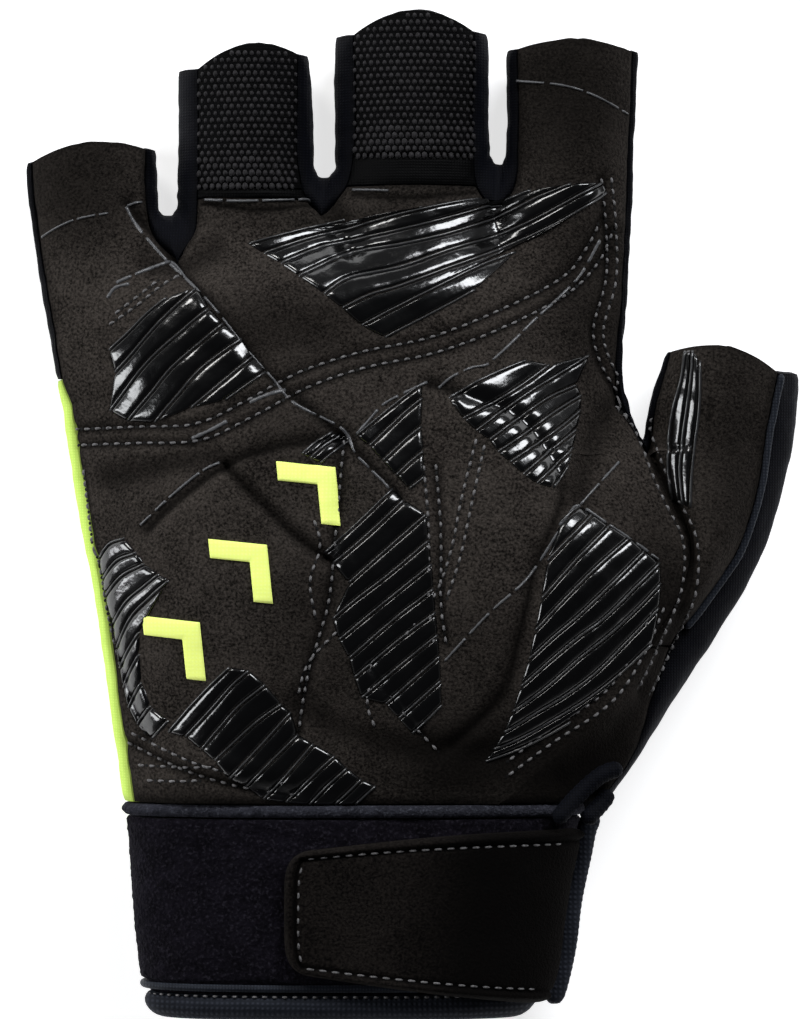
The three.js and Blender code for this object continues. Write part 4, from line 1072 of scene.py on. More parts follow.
# Raised grip print: thin ridges as grid marks, in order across each patch, with a broad flat bar
# between each two neighbours; None leaves a bare gap
GRIPS = {
    "little": [
        [(112, 352), (132, 334), (151, 315), (170, 300)],
        [(118, 374), (135, 356), (165, 322), (200, 290)],
        [(113, 412), (151, 364), (190, 329), (212, 311)],
        [(131, 422), (155, 394), (179, 366), (226, 326)],
        [(158, 424), (182, 396), (205, 370), (244, 341)],
        [(194, 410), (225, 384), (256, 358)],
        [(228, 402), (248, 388), (268, 374)],
    ],
    "fingers": [
        [(250, 246), (300, 232), (345, 221)],
        [(265, 256), (310, 240), (350, 230), (400, 216), (450, 205), (480, 200)],
        [(282, 266), (320, 250), (350, 243), (400, 232), (450, 219), (500, 203), (530, 192)],
        [(300, 279), (350, 256), (400, 247), (450, 235), (500, 217), (540, 198), (570, 186)],
        [(325, 297), (350, 281), (400, 270), (450, 252), (500, 236), (540, 218), (580, 196), (602, 184)],
        [(343, 311), (370, 298), (400, 289), (450, 270), (500, 251), (550, 228), (585, 208), (606, 194)],
        [(362, 328), (400, 308), (440, 288), (480, 268), (515, 254)],
        [(385, 340), (420, 322), (450, 306), (475, 292)],
    ],
    "index": [
        [(448, 400), (475, 384), (505, 370), (525, 362)],
        [(462, 420), (490, 405), (515, 390), (548, 366)],
        [(475, 432), (500, 413), (530, 392), (562, 372), (588, 356)],
        [(488, 441), (515, 421), (545, 400), (575, 386)],
        [(496, 453), (520, 437), (550, 415), (580, 396)],
        [(508, 463), (535, 445), (560, 427), (579, 411)],
        [(521, 475), (545, 454), (575, 430)],
        [(534, 484), (555, 464), (571, 448)],
        [(550, 488), (558, 478), (566, 466)],
    ],
    "centre_upper": [
        [(357, 437), (380, 418), (400, 402), (421, 386)],
        [(370, 447), (388, 430), (405, 414), (422, 400)],
        [(383, 462), (402, 444), (421, 428)],
        [(396, 476), (410, 463), (423, 452)],
        [(409, 489), (417, 483), (424, 477)],
        None,
        [(304, 455), (318, 443), (334, 433)],
        [(312, 459), (326, 447), (342, 436)],
        [(322, 464), (336, 452), (352, 441)],
    ],
    "centre_lower": [
        [(326, 552), (360, 521), (393, 489)],
        [(334, 563), (370, 532), (404, 500)],
        [(350, 581), (385, 550), (426, 514)],
        [(334, 617), (352, 601), (390, 572), (428, 540)],
        [(340, 637), (385, 600), (431, 563)],
        [(350, 655), (395, 616), (433, 587)],
        [(355, 674), (395, 640), (435, 610)],
        [(362, 694), (400, 662), (437, 632)],
        [(386, 700), (415, 674), (439, 653)],
        [(399, 714), (420, 695), (440, 677)],
        [(412, 729), (428, 714), (441, 701)],
    ],
    "heel": [
        [(101, 558), (113, 543), (128, 538)],
        [(104, 580), (120, 560), (140, 552)],
        [(107, 596), (125, 575), (148, 563)],
        [(115, 623), (130, 600), (148, 585), (163, 573)],
        [(119, 647), (135, 615), (155, 595), (173, 579)],
        [(122, 667), (132, 648), (143, 630)],
        [(126, 686), (134, 668), (143, 652)],
        [(131, 706), (138, 692), (145, 680)],
        [(140, 722), (147, 712), (154, 703)],
        [(155, 736), (164, 726), (172, 717)],
        None,
        [(172, 729), (195, 702), (216, 680), (233, 664)],
        [(189, 733), (214, 706), (235, 682), (252, 667)],
        [(205, 745), (225, 721), (243, 701), (268, 681)],
        [(218, 756), (237, 738), (260, 717), (284, 700)],
        [(232, 774), (252, 753), (293, 708)],
        [(248, 782), (275, 755), (300, 730)],
        [(266, 794), (291, 767), (315, 739)],
        [(288, 797), (313, 772), (336, 751)],
        [(311, 799), (330, 779), (348, 763)],
        [(336, 799), (349, 787), (362, 774)],
        [(356, 799), (366, 790), (376, 781)],
    ],
    "thenar": [
        [(556, 524), (566, 514), (576, 506)],
        [(544, 560), (563, 540), (589, 514)],
        [(538, 597), (571, 560), (606, 525)],
        [(532, 628), (556, 602), (591, 567), (626, 537)],
        [(526, 656), (550, 634), (576, 612), (610, 580), (641, 550)],
        [(518, 683), (547, 657), (575, 634), (600, 616), (631, 586), (656, 562)],
        [(510, 708), (544, 683), (576, 655), (610, 628), (640, 600), (657, 582)],
        [(502, 728), (535, 708), (565, 690), (595, 667), (632, 630), (655, 606)],
        [(492, 745), (520, 733), (550, 716), (586, 694), (620, 668), (648, 642)],
        [(484, 757), (512, 747), (540, 734), (568, 718)],
    ],
    "thumb": [
        [(683, 352), (679, 380), (671, 410), (667, 440), (666, 470), (670, 500)],
        [(690, 352), (688, 380), (684, 410), (680, 440), (677, 470), (680, 505)],
        [(697, 362), (697, 390), (695, 420), (691, 450), (688, 480), (687, 508)],
    ],
}


def resampled(marks, count):
    path = smooth_line(on_grid(marks), 0.1)
    pick = np.linspace(0, len(path) - 1, count)
    return np.stack([np.interp(pick, np.arange(len(path)), path[:, k]) for k in range(2)], 1)


# Ridges and bars in millimetres, with the greatest share of the space that one margin of a bar takes
RIDGE_HALF = 0.21
RIDGE_HEIGHT = 0.34
RIDGE_STEP = 0.55
BAR_HEIGHT = 0.38
BAR_CLEAR = 0.12
BAR_STEP = 0.5
BAR_STATIONS = 6
BAR_MARGIN = 0.4
BAR_LEAST_WIDTH = 0.3


def bar_between(marks, below, length):
    """A broad bar in the space between two ridges."""
    count = max(BAR_STATIONS, int(length / BAR_STEP))
    one, two = resampled(marks, count), resampled(below, count)
    tangent = unit(np.gradient((one + two) / 2, axis=0))
    gap = two - one
    square = gap - tangent * (gap * tangent).sum(1, keepdims=True)
    width = np.linalg.norm(square, axis=1, keepdims=True)
    margin = np.minimum(BAR_MARGIN, (RIDGE_HALF + BAR_CLEAR) / np.maximum(width, BAR_LEAST_WIDTH))
    first, second = lerp(one, two, margin), lerp(one, two, 1 - margin)
    turn = tangent[:, 0] * gap[:, 1] - tangent[:, 1] * gap[:, 0]
    if turn.mean() < 0:
        first, second = second, first
    return strip(first, second, BAR_HEIGHT, WIDE)


ridges = Batch()
for label, rows in GRIPS.items():
    bars = Batch()
    for marks, below in zip(rows, rows[1:] + [None]):
        if marks is None:
            continue
        path = smooth_line(on_grid(marks), RIDGE_STEP)
        ridges.add(*ribbon(path, np.full(len(path), RIDGE_HALF), RIDGE_HEIGHT, ROUND))
        if below is not None:
            length = np.linalg.norm(np.diff(path, axis=0), axis=1).sum()
            bars.add(*bar_between(marks, below, length))
    bars.settle("grip_" + label + "_print", SILICONE, "silicone", "grip_" + label)
ridges.settle("palm_grip_ridges", SILICONE_RIDGE_PAINTED_LIGHT, "silicone")

# Thin glossy printed lines: half width in millimetres, then grid marks
LINES = [
    (0.2, [(127, 208), (137, 226), (165, 259), (184, 277), (208, 301), (226, 322), (251, 354), (275, 381),
           (296, 405), (343, 430), (356, 454), (370, 469), (387, 486), (396, 500)]),
    (0.22, [(599, 241), (580, 275), (559, 298), (535, 320), (510, 345), (496, 358), (485, 367), (470, 370),
            (451, 379), (438, 390)]),
    (0.22, [(427, 384), (406, 394), (384, 406), (370, 421), (355, 438)]),
    (0.2, [(617, 462), (598, 482), (576, 506)]),
    (0.2, [(556, 530), (525, 576), (486, 612), (440, 662)]),
    (0.18, [(42, 238), (58, 229), (75, 222), (92, 218), (110, 215)]),
    (0.2, [(205, 201), (240, 203), (280, 202), (314, 200)]),
    (0.2, [(352, 191), (375, 192), (396, 193)]),
    (0.17, [(515, 82), (560, 88), (590, 97), (628, 115)]),
    (0.22, [(556, 525), (565, 515), (576, 506), (603, 523), (630, 541), (655, 559)]),
    (0.2, [(128, 207), (136, 204), (143, 203)]),
    (0.24, [(119, 285), (146, 273), (172, 263)]),
    (0.24, [(110, 300), (118, 290), (132, 286)]),
    (0.2, [(172, 263), (180, 270), (188, 281)]),
    (0.22, [(144, 525), (173, 498), (204, 473), (223, 463)]),
    (0.3, [(195, 440), (215, 431), (235, 420)]),
    (0.3, [(252, 404), (272, 396), (295, 390)]),
]
LINE_STEP = 0.3
LINE_HEIGHT = 0.28
LINE_RUN = (8, 22)
LINE_BREAK = (2, 4)
LINE_LEAST = 4
LINE_UNEVEN = (0.8, 1.25)

random = np.random.default_rng(5)
lines = Batch()
for half, marks in LINES:
    path = smooth_line(on_grid(marks), LINE_STEP)
    start = 0
    while start + LINE_LEAST < len(path):
        stop = min(len(path), start + int(random.integers(*LINE_RUN)))
        run = path[start:stop + 1]
        lines.add(*ribbon(run, half * random.uniform(*LINE_UNEVEN, len(run)), LINE_HEIGHT, ROUND))
        start = stop + int(random.integers(*LINE_BREAK))
lines.settle("palm_printed_lines", SILICONE_LINE, "silicone")

# Thread stitches, in millimetres
STITCH_STATIONS = 6
STITCH_SIDES = 6
STITCH_END = 0.35
STITCH_PROUD = 0.25
STITCH_SINK = 0.08
STITCH_LENGTH = 1.0
STITCH_RADIUS = 0.23
STITCH_LEAST = 0.2
# Stitch holes: low near black spots of painted shade
HOLE_RADIUS = 0.3
HOLE_SIDES = 6
HOLE_LEVELS = (0.07, 0.02, -0.05)


def capsule(a, b, normal, radius, proud, sink=0.0):
    """One stitch that bows up between its ends: vertices and faces."""
    t = np.arange(STITCH_STATIONS + 1)[:, None] / STITCH_STATIONS
    bow = np.sin(np.pi * t)
    centre = lerp(a, b, t) + normal * (proud * bow**0.6 - sink)
    angle = 2 * np.pi * np.arange(STITCH_SIDES)[:, None] / STITCH_SIDES
    ring = np.cross(unit(b - a), normal) * np.cos(angle) + normal * np.sin(angle)
    size = radius * (STITCH_END + (1 - STITCH_END) * bow**0.5)
    vertices = (centre[:, None] + ring * size[:, None]).reshape(-1, 3)
    return vertices, row_faces(STITCH_STATIONS + 1, STITCH_SIDES, is_ring=True)


def stitch(start, end):
    """One stitch on the palm side that dips into the cloth at both ends."""
    a, normal_a = drop(*start)
    b, normal_b = drop(*end)
    if np.linalg.norm(b - a) >= STITCH_LEAST:
        normal = unit(normal_a + normal_b)
        seams.add(*capsule(a, b, normal, STITCH_RADIUS, STITCH_PROUD, STITCH_SINK))


def hole(x, y):
    """A low dark spot of painted shade where the thread goes into the cloth."""
    point, normal = drop(x, y)
    cosine, sine = flat_ring(normal, HOLE_SIDES)
    high, rim, low = (point + normal * level for level in HOLE_LEVELS)
    vertices = [high, *(rim + (cosine + sine) * HOLE_RADIUS), low]
    pairs = [(1 + c, 1 + (c + 1) % HOLE_SIDES) for c in range(HOLE_SIDES)]
    faces = [(0, c, d) for c, d in pairs]
    faces += [(HOLE_SIDES + 1, d, c) for c, d in pairs]
    holes.add(vertices, faces)


def stitch_row(marks, shift=0.0, pitch=1.8):
    path = smooth_line(on_grid(marks), PATH_STEP)
    tangent = unit(np.gradient(path, axis=0))
    path = path + np.stack([-tangent[:, 1], tangent[:, 0]], 1) * shift
    every = round(pitch / PATH_STEP)
    reach = round(STITCH_LENGTH / PATH_STEP)
    for k in range(0, len(path) - reach, every):
        stitch(path[k], path[k + reach])
        hole(*path[min(len(path) - 1, k + (every + reach) // 2)])


# Further rows of stitches as grid marks
STITCH_ROWS = [
    [(112, 327), (140, 308), (165, 288), (190, 273)],
    [(118, 316), (142, 298), (166, 279)],
    [(141, 762), (175, 763), (216, 762)],
    [(150, 777), (180, 777), (207, 776)],
    [(475, 440), (460, 500), (450, 550), (435, 591), (400, 640)],
    [(483, 446), (470, 505), (459, 556), (445, 600)],
    [(372, 672), (368, 700), (375, 722)],
    [(300, 690), (310, 660), (345, 622)],
    [(651, 598), (632, 645), (600, 690), (540, 730), (500, 762)],
    [(660, 606), (640, 652), (608, 699), (548, 740), (505, 772)],
    [(316, 520), (322, 545), (312, 580), (318, 620)],
    [(86, 470), (92, 520), (98, 570)],
]

# Channels with a row of stitches: which, shift to its left and pitch in millimetres
CHANNEL_ROWS = [(k, 0.0, 1.8) for k in (0, 1, 3, 5, 6, 7, 9, 11)]
CHANNEL_ROWS += [(7, -1.9, 1.8), (3, 1.6, 1.8), (5, 1.7, 1.8), (12, -1.1, 1.9), (12, 1.2, 1.9)]

seams = Batch()
holes = Batch()
for index, shift, pitch in CHANNEL_ROWS:
    stitch_row(CHANNELS[index][2], shift, pitch)
for marks in STITCH_ROWS:
    stitch_row(marks)
seams.settle("palm_stitches", THREAD, "suede", sharp=80)
holes.settle("palm_stitch_holes", HOLE_SHADE, "suede", sharp=80)

# Knots of the open knit: digit, left and right, and top and bottom as grid marks
KNOT_FIELDS = [(1, 198, 299, 30, 190), (2, 353, 475, 6, 158)]
KNOT_PITCH = 6.6
KNOT_SIDES = 8
KNOT_SIZE = np.array([0.36, 0.42, 0.26])
KNOT_UNEVEN = (0.85, 1.15)
KNOT_RINGS = ((0.7, 0.7), (1.0, 0.1))
KNOT_SINK = 0.1
KNOT_TIP_CLEAR = 5
BIG_KNOTS = 32
BIG_KNOT_SIZE = 1.25
HEM_MARK = 1016
LENGTH_MARKS = 1004


def knot(x, y, size):
    """A low round knot: vertices and faces."""
    point, normal = drop(x, y)
    cosine, sine = flat_ring(normal, KNOT_SIDES)
    vertices = [point + normal * size[2]]
    for radius, height in KNOT_RINGS:
        ring = (cosine * size[0] + sine * size[1]) * radius
        vertices.extend(point + ring + normal * size[2] * height)
    vertices.append(point - normal * KNOT_SINK)
    n = KNOT_SIDES
    pairs = [(1 + c, 1 + (c + 1) % n) for c in range(n)]
    faces = [(0, c, d) for c, d in pairs]
    faces += [(c, c + n, d + n, d) for c, d in pairs]
    faces += [(c + n, 2 * n + 1, d + n) for c, d in pairs]
    return vertices, faces


random = np.random.default_rng(7)
knots = Batch()
for digit, left, right, high, low in KNOT_FIELDS:
    for row, v in enumerate(np.arange(high, low, KNOT_PITCH)):
        start = left + 2 + (KNOT_PITCH / 2 if row % 2 else 0)
        for u in np.arange(start, right - 1, KNOT_PITCH):
            tip = arched(digit, np.array(DIGITS[digit]["tip"][0]), (u - left) / (right - left))
            if v < HEM_MARK - LENGTH_MARKS * float(tip) + KNOT_TIP_CLEAR:
                continue
            big = BIG_KNOT_SIZE if v > low - BIG_KNOTS else 1.0
            size = KNOT_SIZE * big * random.uniform(*KNOT_UNEVEN)
            knots.add(*knot(*on_grid([(u, v)])[0], size))
knots.settle("finger_mesh_knots", MESH_KNOT, "knit_mesh", sharp=180)

# Plain neon chevrons on the palm: grid mark of the outer corner
CHEVRONS = [(204, 620), (270, 544), (336, 468)]
CHEVRON_ARM = 9.2
CHEVRON_STROKE = 3.0
CHEVRON_HEIGHT = 0.34
CHEVRON_BASE = 0.1
CHEVRON_STATIONS = 22
TO_LEFT = np.array([-1.0, 0.1])
DOWN = np.array([0.1, -1.0])


def angle_path(corner, arm):
    """Points in to a corner and out again."""
    reach = np.linspace(1, 0, CHEVRON_STATIONS)[:, None] * arm
    return np.concatenate([corner + TO_LEFT * reach, corner + DOWN * reach[::-1]])


chevrons = Batch()
for mark in CHEVRONS:
    corner = on_grid([mark])[0]
    inner = corner + (TO_LEFT + DOWN) * CHEVRON_STROKE
    inside, outside = angle_path(inner, CHEVRON_ARM - CHEVRON_STROKE), angle_path(corner, CHEVRON_ARM)
    chevrons.add(*strip(inside, outside, CHEVRON_HEIGHT, WIDE, CHEVRON_BASE))
chevrons.settle("palm_neon_chevrons", NEON_PRINT, "neon_fabric")

# Cuff section: share along, left and right outline across, top as a share of the palm depth
CUFF = [
    (0.0, 0.166, 0.646, 0.8),
    (0.012, 0.157, 0.656, 0.84),
    (0.031, 0.152, 0.672, 0.86),
    (0.116, 0.142, 0.692, 0.88),
    (0.203, 0.132, 0.716, 0.9),
]
CUFF_ROUNDNESS = 2.5
CUFF_FLAT = 0.9


def powered(values, power):
    return np.sign(values) * np.abs(values) ** power


def cuff_point(angle, share, offset):
    """Points of the cuff outline at angles, moved out by offsets and never below the surface."""
    angle, share, offset = np.broadcast_arrays(angle, share, offset)
    left, right = across(lookup(CUFF, share, 1)), across(lookup(CUFF, share, 2))
    top = PALM_DEPTH * lookup(CUFF, share, 3)
    half = (right - left) / 2
    depth = (top + CUFF_FLAT) / 2
    ux, uz = (powered(wave, 2 / CUFF_ROUNDNESS) for wave in (np.cos(angle), np.sin(angle)))
    nx = powered(ux, CUFF_ROUNDNESS - 1) / half
    nz = powered(uz, CUFF_ROUNDNESS - 1) / depth
    size = np.hypot(nx, nz)
    z = np.maximum(top - depth + uz * depth + nz / size * offset, np.maximum(FLOOR_CLEAR, -offset))
    return np.stack([(left + right) / 2 + ux * half + nx / size * offset, along(share), z], -1)


# Unevenness of cuff cloths: wave lengths in millimetres, and how far out of the inside it begins
GRAIN_WAVE = 1.6
SWELL_WAVE = 14.0
GRAIN_START = 0.3


def cuff_ring(name, section, segments, material, slot, node, swell, grain, seed):
    """A closed ring round the cuff from a loop of share along, offset."""
    section = np.asarray(section)
    angle = 2 * np.pi * np.arange(segments)[:, None] / segments
    share, offset = section[None, :, 0], section[None, :, 1]
    spots = cuff_point(angle, share, offset).reshape(-1, 3)
    shift = grain * ripples(spots, seed, GRAIN_WAVE, 2) + swell * ripples(spots, seed + 1, SWELL_WAVE, 2)
    shift = shift.reshape(segments, -1) * (offset > offset.min() + GRAIN_START)
    spots = cuff_point(angle, share, offset + shift).reshape(-1, 3)
    index = np.arange(len(spots)).reshape(segments, -1)
    faces = grid_faces(np.pad(index, (0, 1), "wrap")).reshape(-1, 4)
    settle(make_mesh(name, spots, faces, material, sharp=60), slot, node)


def round_loop(share, offset, half_length, half_out, corners):
    angle = 2 * np.pi * (np.arange(corners) + 0.5) / corners
    return np.stack([share + np.sin(angle) * half_length / GLOVE_LENGTH,
                     offset + np.cos(angle) * half_out], 1)


CUFF_STEP = 1.2
BAND_BULGE = 0.12
BAND_START = 0.042
BAND_LENGTH = 0.1585
BAND_THIN = 0.6
band_swell = [(s, BAND_BULGE * math.sin(math.pi * (s - BAND_START) / BAND_LENGTH))
              for s in np.linspace(0.045, 0.1985, 44)]
band = [(0.0285, -CUFF_STEP), (0.038, -CUFF_STEP), (BAND_START, 0.0), *band_swell, (0.2005, -0.2),
        (0.2005, -CLOTH["cuff"]), (0.12, -CLOTH["cuff"]), (0.0285, -CUFF_STEP - CLOTH["cuff"] + BAND_THIN)]

# Rings: name, section, segments, material, slot, node, heights of swell and grain, seed
RINGS = [
    ("cuff_band_cloth", band, 360, LOOP, "loop_fabric", "cuff_band", 0.22, 0.12, 21),
    ("cuff_top_fleece", round_loop(0.2085, -0.45, 1.0, 1.05, 16), 420, FLEECE, "binding",
     "cuff_top_roll", 0.1, 0.14, 31),
    ("cuff_piping_cord", round_loop(0.0345, -0.35, 0.58, 0.58, 12), 300, PIPING, "piping",
     "cuff_piping", 0.03, 0.02, 41),
    ("cuff_hem_band", round_loop(0.0145, -1.6, 2.0, 1.5, 20), 320, SLATE, "binding", "cuff_hem",
     0.08, 0.04, 51),
]
for ring in RINGS:
    cuff_ring(*ring)

# Closure strap: shares along of its lower and upper edge at both ends, and shares across
STRAP_LOW = (0.047, 0.017)
STRAP_TOP = (0.172, 0.19)
STRAP_BOW = 0.004
STRAP_START = 0.337
STRAP_END = (1 + 0.965) / 2
STRAP_CORNER = 0.05
CORNER_POWERS = (5, 0.4)
STRAP_WIDTH = 45.0
STRAP_BASE = 0.3
STRAP_UNDER = 0.28
STRAP_SWELL = 0.12
STRAP_EDGE = 0.9
STRAP_CELLS = (90, 150)
STRAP_EASE = 0.55
CUFF_TOP_REACH = 0.995

# Its raised rim and the groove of its stitches: height, distance from the edge, half width
RIM = (0.55, 1.0, 0.65)
GROOVE = (-0.35, 1.9, 0.4)
# Painted shade in the stitch groove, and painted shade that darkens the strap towards its far end
GROOVE_CREASE = 0.45
STRAP_SHADE = 0.9
SHADE_START = 0.35
SHADE_FADE = 0.35


def strap_point(q, s, offset):
    """Points of the strap: q runs along it, s from its lower to its upper edge."""
    corner = (1 - (1 - np.abs(2 * s - 1) ** CORNER_POWERS[0]) ** CORNER_POWERS[1]) * STRAP_CORNER
    bow = STRAP_BOW * np.sin(np.pi * q)
    share = lerp(lerp(*STRAP_LOW, q) - bow / 2, lerp(*STRAP_TOP, q) + bow, s)
    left, right = lookup(CUFF, share, 1), lookup(CUFF, share, 2)
    place = lerp(STRAP_START + corner, lerp(left, right, STRAP_END), q)
    turn = np.clip(2 * (place - left) / (right - left) - 1, -CUFF_TOP_REACH, CUFF_TOP_REACH)
    return cuff_point(np.arccos(powered(turn, CUFF_ROUNDNESS / 2)), share, offset)


def ease_ends(count):
    t = np.linspace(0, 1, count)
    return t - np.sin(2 * np.pi * t) / (2 * np.pi) * STRAP_EASE


strap_s, strap_q = np.meshgrid(*(ease_ends(n) for n in STRAP_CELLS), indexing="ij")
height_mm = lerp(STRAP_TOP[0] - STRAP_LOW[0], STRAP_TOP[1] - STRAP_LOW[1], strap_q) * GLOVE_LENGTH
edge = np.minimum(np.minimum(strap_s, 1 - strap_s) * height_mm, strap_q * STRAP_WIDTH)
body = np.sqrt(1 - (1 - np.clip(edge / STRAP_EDGE, 0, 1)) ** 2)
rim = sum(height * bell(edge - away, half) for height, away, half in (RIM, GROOVE))
bare = strap_point(strap_q, strap_s, np.zeros_like(edge))
swell = STRAP_SWELL * ripples(bare.reshape(-1, 3), 61, 15.0, 2).reshape(edge.shape)
strap_high = strap_point(strap_q, strap_s, STRAP_BASE + (CLOTH["strap"] + rim + swell) * body)
strap_low = strap_point(strap_q, strap_s, np.full_like(edge, STRAP_UNDER))
strap_points = np.concatenate([strap_high.reshape(-1, 3), strap_low.reshape(-1, 3)])
# Painted shade: darker in the stitch groove and towards the far end of the strap
shade = STRAP_SHADE * smooth_step((strap_q - SHADE_START) / SHADE_FADE)
strap_marks = {
    "crease": np.tile(bell(edge - GROOVE[1], GROOVE_CREASE).reshape(-1), 2),
    "seam": np.zeros(2 * edge.size),
    "shade": np.tile(shade.reshape(-1), 2),
}
strap = make_mesh("closure_strap_suede", strap_points, plate_faces(*STRAP_CELLS), STRAP_SUEDE,
                  sharp=60, attributes=strap_marks)
settle(strap, "suede", "closure_strap")

# Stitches along the edges of the strap and above the hem
STRAP_INSET = 1.9 / 23.0
STRAP_ENDS = (0.06, 0.97)
STRAP_END_INSET = 1.6 * STRAP_INSET
STRAP_END_PLACE = 0.055
GROOVE_SINK = 0.25
STRAP_STITCH = {"pitch": 2.0, "length": 1.2, "radius": 0.2, "proud": 0.18}
HEM_STITCH = {"pitch": 1.5, "length": 0.75, "radius": 0.2, "proud": 0.12}
HEM_TURN = (0.12, 0.93)
HEM_SHARE = 0.0262
HEM_OFFSET = -0.55
UP = np.array([0.0, 0.0, 1.0])
edge_stitches = Batch()


def stitch_along(points, pitch, length, radius, proud):
    path = smooth_line(points, PATH_STEP)
    every, reach = round(pitch / PATH_STEP), round(length / PATH_STEP)
    for k in range(0, len(path) - reach, every):
        edge_stitches.add(*capsule(path[k], path[k + reach], UP, radius, proud))


groove_level = STRAP_BASE + CLOTH["strap"] - GROOVE_SINK
for s in (1 - STRAP_INSET, STRAP_INSET):
    stitch_along(strap_point(np.linspace(*STRAP_ENDS, 30), s, groove_level), **STRAP_STITCH)
s = np.linspace(STRAP_END_INSET, 1 - STRAP_END_INSET, 20)
stitch_along(strap_point(STRAP_END_PLACE, s, groove_level), **STRAP_STITCH)
angles = np.linspace(*HEM_TURN, 120) * np.pi
stitch_along(cuff_point(angles, HEM_SHARE, HEM_OFFSET), **HEM_STITCH)
edge_stitches.settle("strap_and_hem_stitches", THREAD, "suede", sharp=80)

# Ribs along rolled cloth and piping: pitch in millimetres
RIB_PITCH = 1.1
TUBE_STEP = 0.4
TUBE_END = 0.02


def tube(name, centres, radius, material, slot, node, sides, rib):
    """A rolled cloth or cord along a smooth path, rounded at both ends."""
    path = smooth_line(centres, TUBE_STEP)
    tangent = unit(np.gradient(path, axis=0))
    normal = np.zeros_like(path)
    guide = UP
    for k, t in enumerate(tangent):
        guide = unit(guide - t * (guide @ t))
        normal[k] = guide
    side = np.cross(tangent, normal)
    n = len(path)
    station = np.arange(n)
    reach = np.minimum(station, n - 1 - station) * TUBE_STEP
    size = radius * np.sqrt(1 - (1 - np.clip(reach / radius, TUBE_END, 1)) ** 2)
    size = size * (1 + rib * np.cos(2 * np.pi * station * TUBE_STEP / RIB_PITCH))
    angle = 2 * np.pi * np.arange(sides)[None, :, None] / sides
    ring = (normal[:, None] * np.sin(angle) + side[:, None] * np.cos(angle)) * size[:, None, None]
    spots = (path[:, None] + ring).reshape(-1, 3)
    spots[:, 2] = np.maximum(spots[:, 2], FLOOR_CLEAR)
    settle(make_mesh(name, spots, row_faces(n, sides, is_ring=True), material, sharp=60), slot, node)


# Bound edge on the thumb side of the cuff: share along, further offset in millimetres
BINDING = [(0.201, 1.2), (0.19, 0.0), (0.16, 0.0), (0.116, 0.0), (0.07, 0.0), (0.03, 0.2), (0.0125, 0.9)]
BINDING_ANGLE = -0.1
BINDING_OUT = 1.9
BINDING_RADIUS = 1.65
tube("edge_binding_roll", [cuff_point(BINDING_ANGLE, a, BINDING_OUT + extra) for a, extra in BINDING],
     BINDING_RADIUS, SLATE, "binding", "edge_binding", sides=20, rib=0.03)

# Piping along the seam between the thumb panel and the side of the thumb
PIPING_OUT = 0.45
PIPING_RADIUS = 0.55
piping = net.palm[THUMB][(THUMB_PANEL_ROW + 1) * net.fine - 4:, -1][::4]
tube("thumb_piping_cord", net.points[piping] + net.normals[piping] * PIPING_OUT, PIPING_RADIUS,
     PIPING, "piping", "thumb_piping", sides=12, rib=0.05)

# Folds that run on from it: share along, share across, rise as a number of steps
FOLD_ROLLS = {
    "upper": [(0.1985, 0.676, 2.2), (0.222, 0.706, 0.4), (0.243, 0.738, 0.1), (0.25, 0.764, 0.1)],
    "lower": [(0.197, 0.712, 2.6), (0.216, 0.738, 0.9), (0.228, 0.749, 0.2)],
}
FOLD_LOWEST = 0.217
FOLD_RISE = 0.8
FOLD_RISE_STEP = 0.45
FOLD_RADIUS = 1.35
for label, table in FOLD_ROLLS.items():
    centres = []
    for a, c, extra in table:
        point, normal = evened_drop(across(c), along(max(a, FOLD_LOWEST)))
        centre = point + normal * (FOLD_RISE + FOLD_RISE_STEP * extra)
        centre[1] = along(a)
        centres.append(centre)
    tube("binding_fold_" + label + "_roll", centres, FOLD_RADIUS, FOLD_CLOTH, "binding",
         "binding_fold_" + label, sides=16, rib=0.05)

# Cloth that closes the corner under the folds: rows of grid marks with heights
CORNER = np.array([
    [(566, 790, 11.0), (580, 782, 11.0), (596, 775, 10.0), (612, 768, 9.0)],
    [(572, 800, 11.0), (584, 793, 10.5), (600, 786, 9.5), (612, 780, 8.0)],
    [(578, 810, 10.5), (588, 805, 9.5), (600, 799, 8.5), (608, 792, 7.5)],
    [(582, 820, 9.5), (592, 816, 9.0), (600, 811, 8.0), (606, 803, 7.0)],
])
CORNER_STEP = 0.6
CORNER_ROWS = 10
CORNER_COLUMNS = 12
CORNER_THICK = 1.1
pick = np.linspace(0, CORNER_ROWS - 1, CORNER_COLUMNS).round().astype(int)
corner_rows = [smooth_line(np.column_stack([on_grid(row[:, :2]), row[:, 2]]), CORNER_STEP)[pick]
               for row in CORNER]
corner_rows = np.stack(corner_rows)
corner_grid = np.stack([smooth_line(corner_rows[:, k], CORNER_STEP)[:CORNER_ROWS]
                        for k in range(CORNER_COLUMNS)], 1)
corner_high = corner_grid.reshape(-1, 3)
corner_points = np.concatenate([corner_high, corner_high - [0, 0, CORNER_THICK]])
corner_faces = plate_faces(*corner_grid.shape[:2], turned=True)
settle(make_mesh("corner_fold_cloth", corner_points, corner_faces, FOLD_CLOTH, sharp=60), "binding")

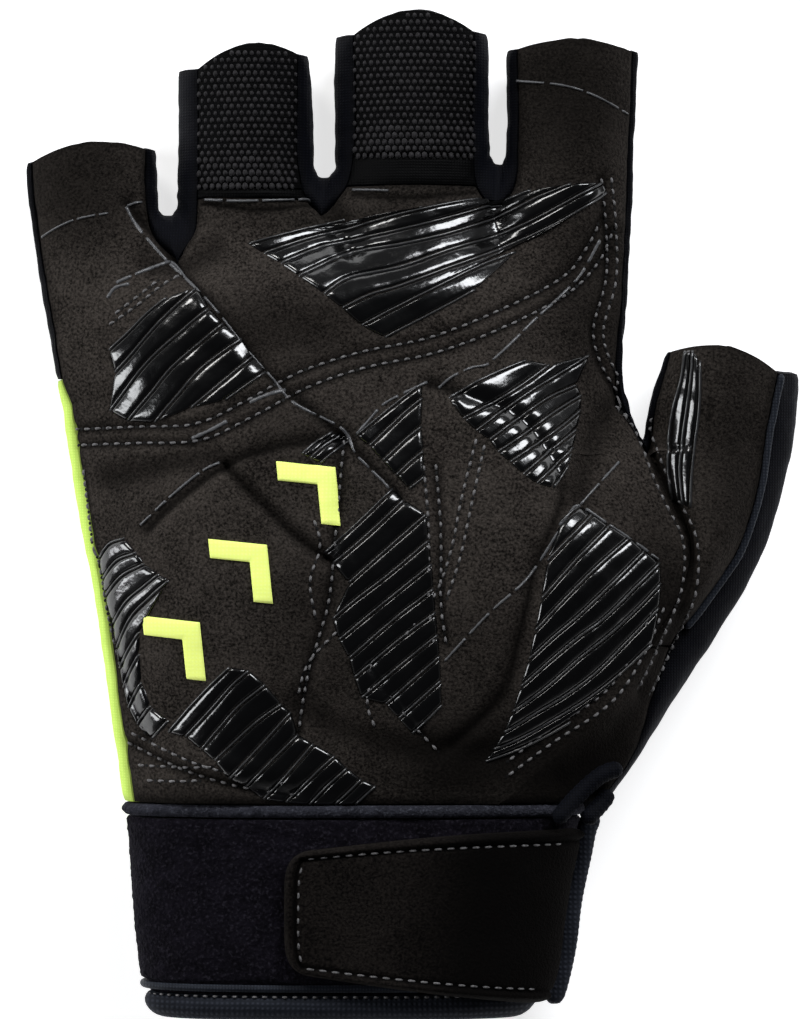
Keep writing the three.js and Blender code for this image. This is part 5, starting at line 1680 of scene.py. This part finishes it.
# Floor, light and camera
FLOOR_HALF = 3
FLOOR_DROP = 0.0002
FLOOR_CORNERS = [(-1, -1), (1, -1), (1, 1), (-1, 1)]
floor_points = [(x * FLOOR_HALF, y * FLOOR_HALF, -FLOOR_DROP) for x, y in FLOOR_CORNERS]
mesh = bpy.data.meshes.new("floor")
mesh.from_pydata(floor_points, [], [(0, 1, 2, 3)])
floor = bpy.data.objects.new("floor", mesh)
bpy.context.scene.collection.objects.link(floor)
paper = Looks(bpy.data.materials.new("floor_paper"))
bsdf, place = paper.start()
grain = paper.noise(place, scale=40.0, detail=3.0)
tone = paper.ramp(grain, [(0.3, (0.78, 0.78, 0.785)), (0.7, (0.8, 0.8, 0.805))])
paper.links.new(tone, bsdf.inputs["Base Color"])
bsdf.inputs["Roughness"].default_value = 0.9
bsdf.inputs["Specular IOR Level"].default_value = 0.1
bsdf.inputs["Emission Color"].default_value = (1, 1, 1, 1)
bsdf.inputs["Emission Strength"].default_value = 0.72
mesh.materials.append(paper.owner)

world = bpy.data.worlds.new("studio")
bpy.context.scene.world = world
looks = Looks(world)
split = looks.nodes.new("ShaderNodeSeparateXYZ")
looks.links.new(looks.place("Generated"), split.inputs["Vector"])
SKY = [(0.0, (0.95, 0.95, 0.96)), (0.25, (0.6, 0.6, 0.62)), (0.6, (0.12, 0.12, 0.13))]
background = looks.nodes["Background"]
looks.links.new(looks.ramp(split.outputs["Z"], SKY), background.inputs["Color"])
background.inputs["Strength"].default_value = 0.2

LIGHT_AIM = Vector((0, 0, 0.015))


def softbox(name, position, size, power, colour):
    light = bpy.data.lights.new(name, "AREA")
    light.shape = "RECTANGLE"
    light.size, light.size_y = size
    light.energy = power
    light.color = colour
    lamp = bpy.data.objects.new(name, light)
    lamp.location = position
    lamp.rotation_euler = (LIGHT_AIM - Vector(position)).to_track_quat("-Z", "Y").to_euler()
    bpy.context.scene.collection.objects.link(lamp)


softbox("finger_softbox", (0.36, 0.6, 0.55), (0.46, 0.26), 6.0, (0.95, 0.97, 1.0))
softbox("left_softbox", (-0.78, 0.06, 0.34), (0.22, 0.5), 3.2, (0.96, 0.98, 1.0))
softbox("far_left_softbox", (-0.45, 0.75, 0.6), (0.3, 0.2), 3.0, (1.0, 0.99, 0.97))

VIEW_WIDTH = 0.16304
CAMERA_AWAY = 0.89
camera_data = bpy.data.cameras.new("camera")
camera = bpy.data.objects.new("camera", camera_data)
camera_data.sensor_width = 36.0
camera_data.lens = camera_data.sensor_width * CAMERA_AWAY / VIEW_WIDTH
camera_data.clip_start = 0.05
camera_data.clip_end = 20.0
camera.location = (-0.0020, 0.00072, 0.9)
bpy.context.scene.collection.objects.link(camera)
bpy.context.scene.camera = camera
bpy.context.scene.view_settings.view_transform = "Standard"
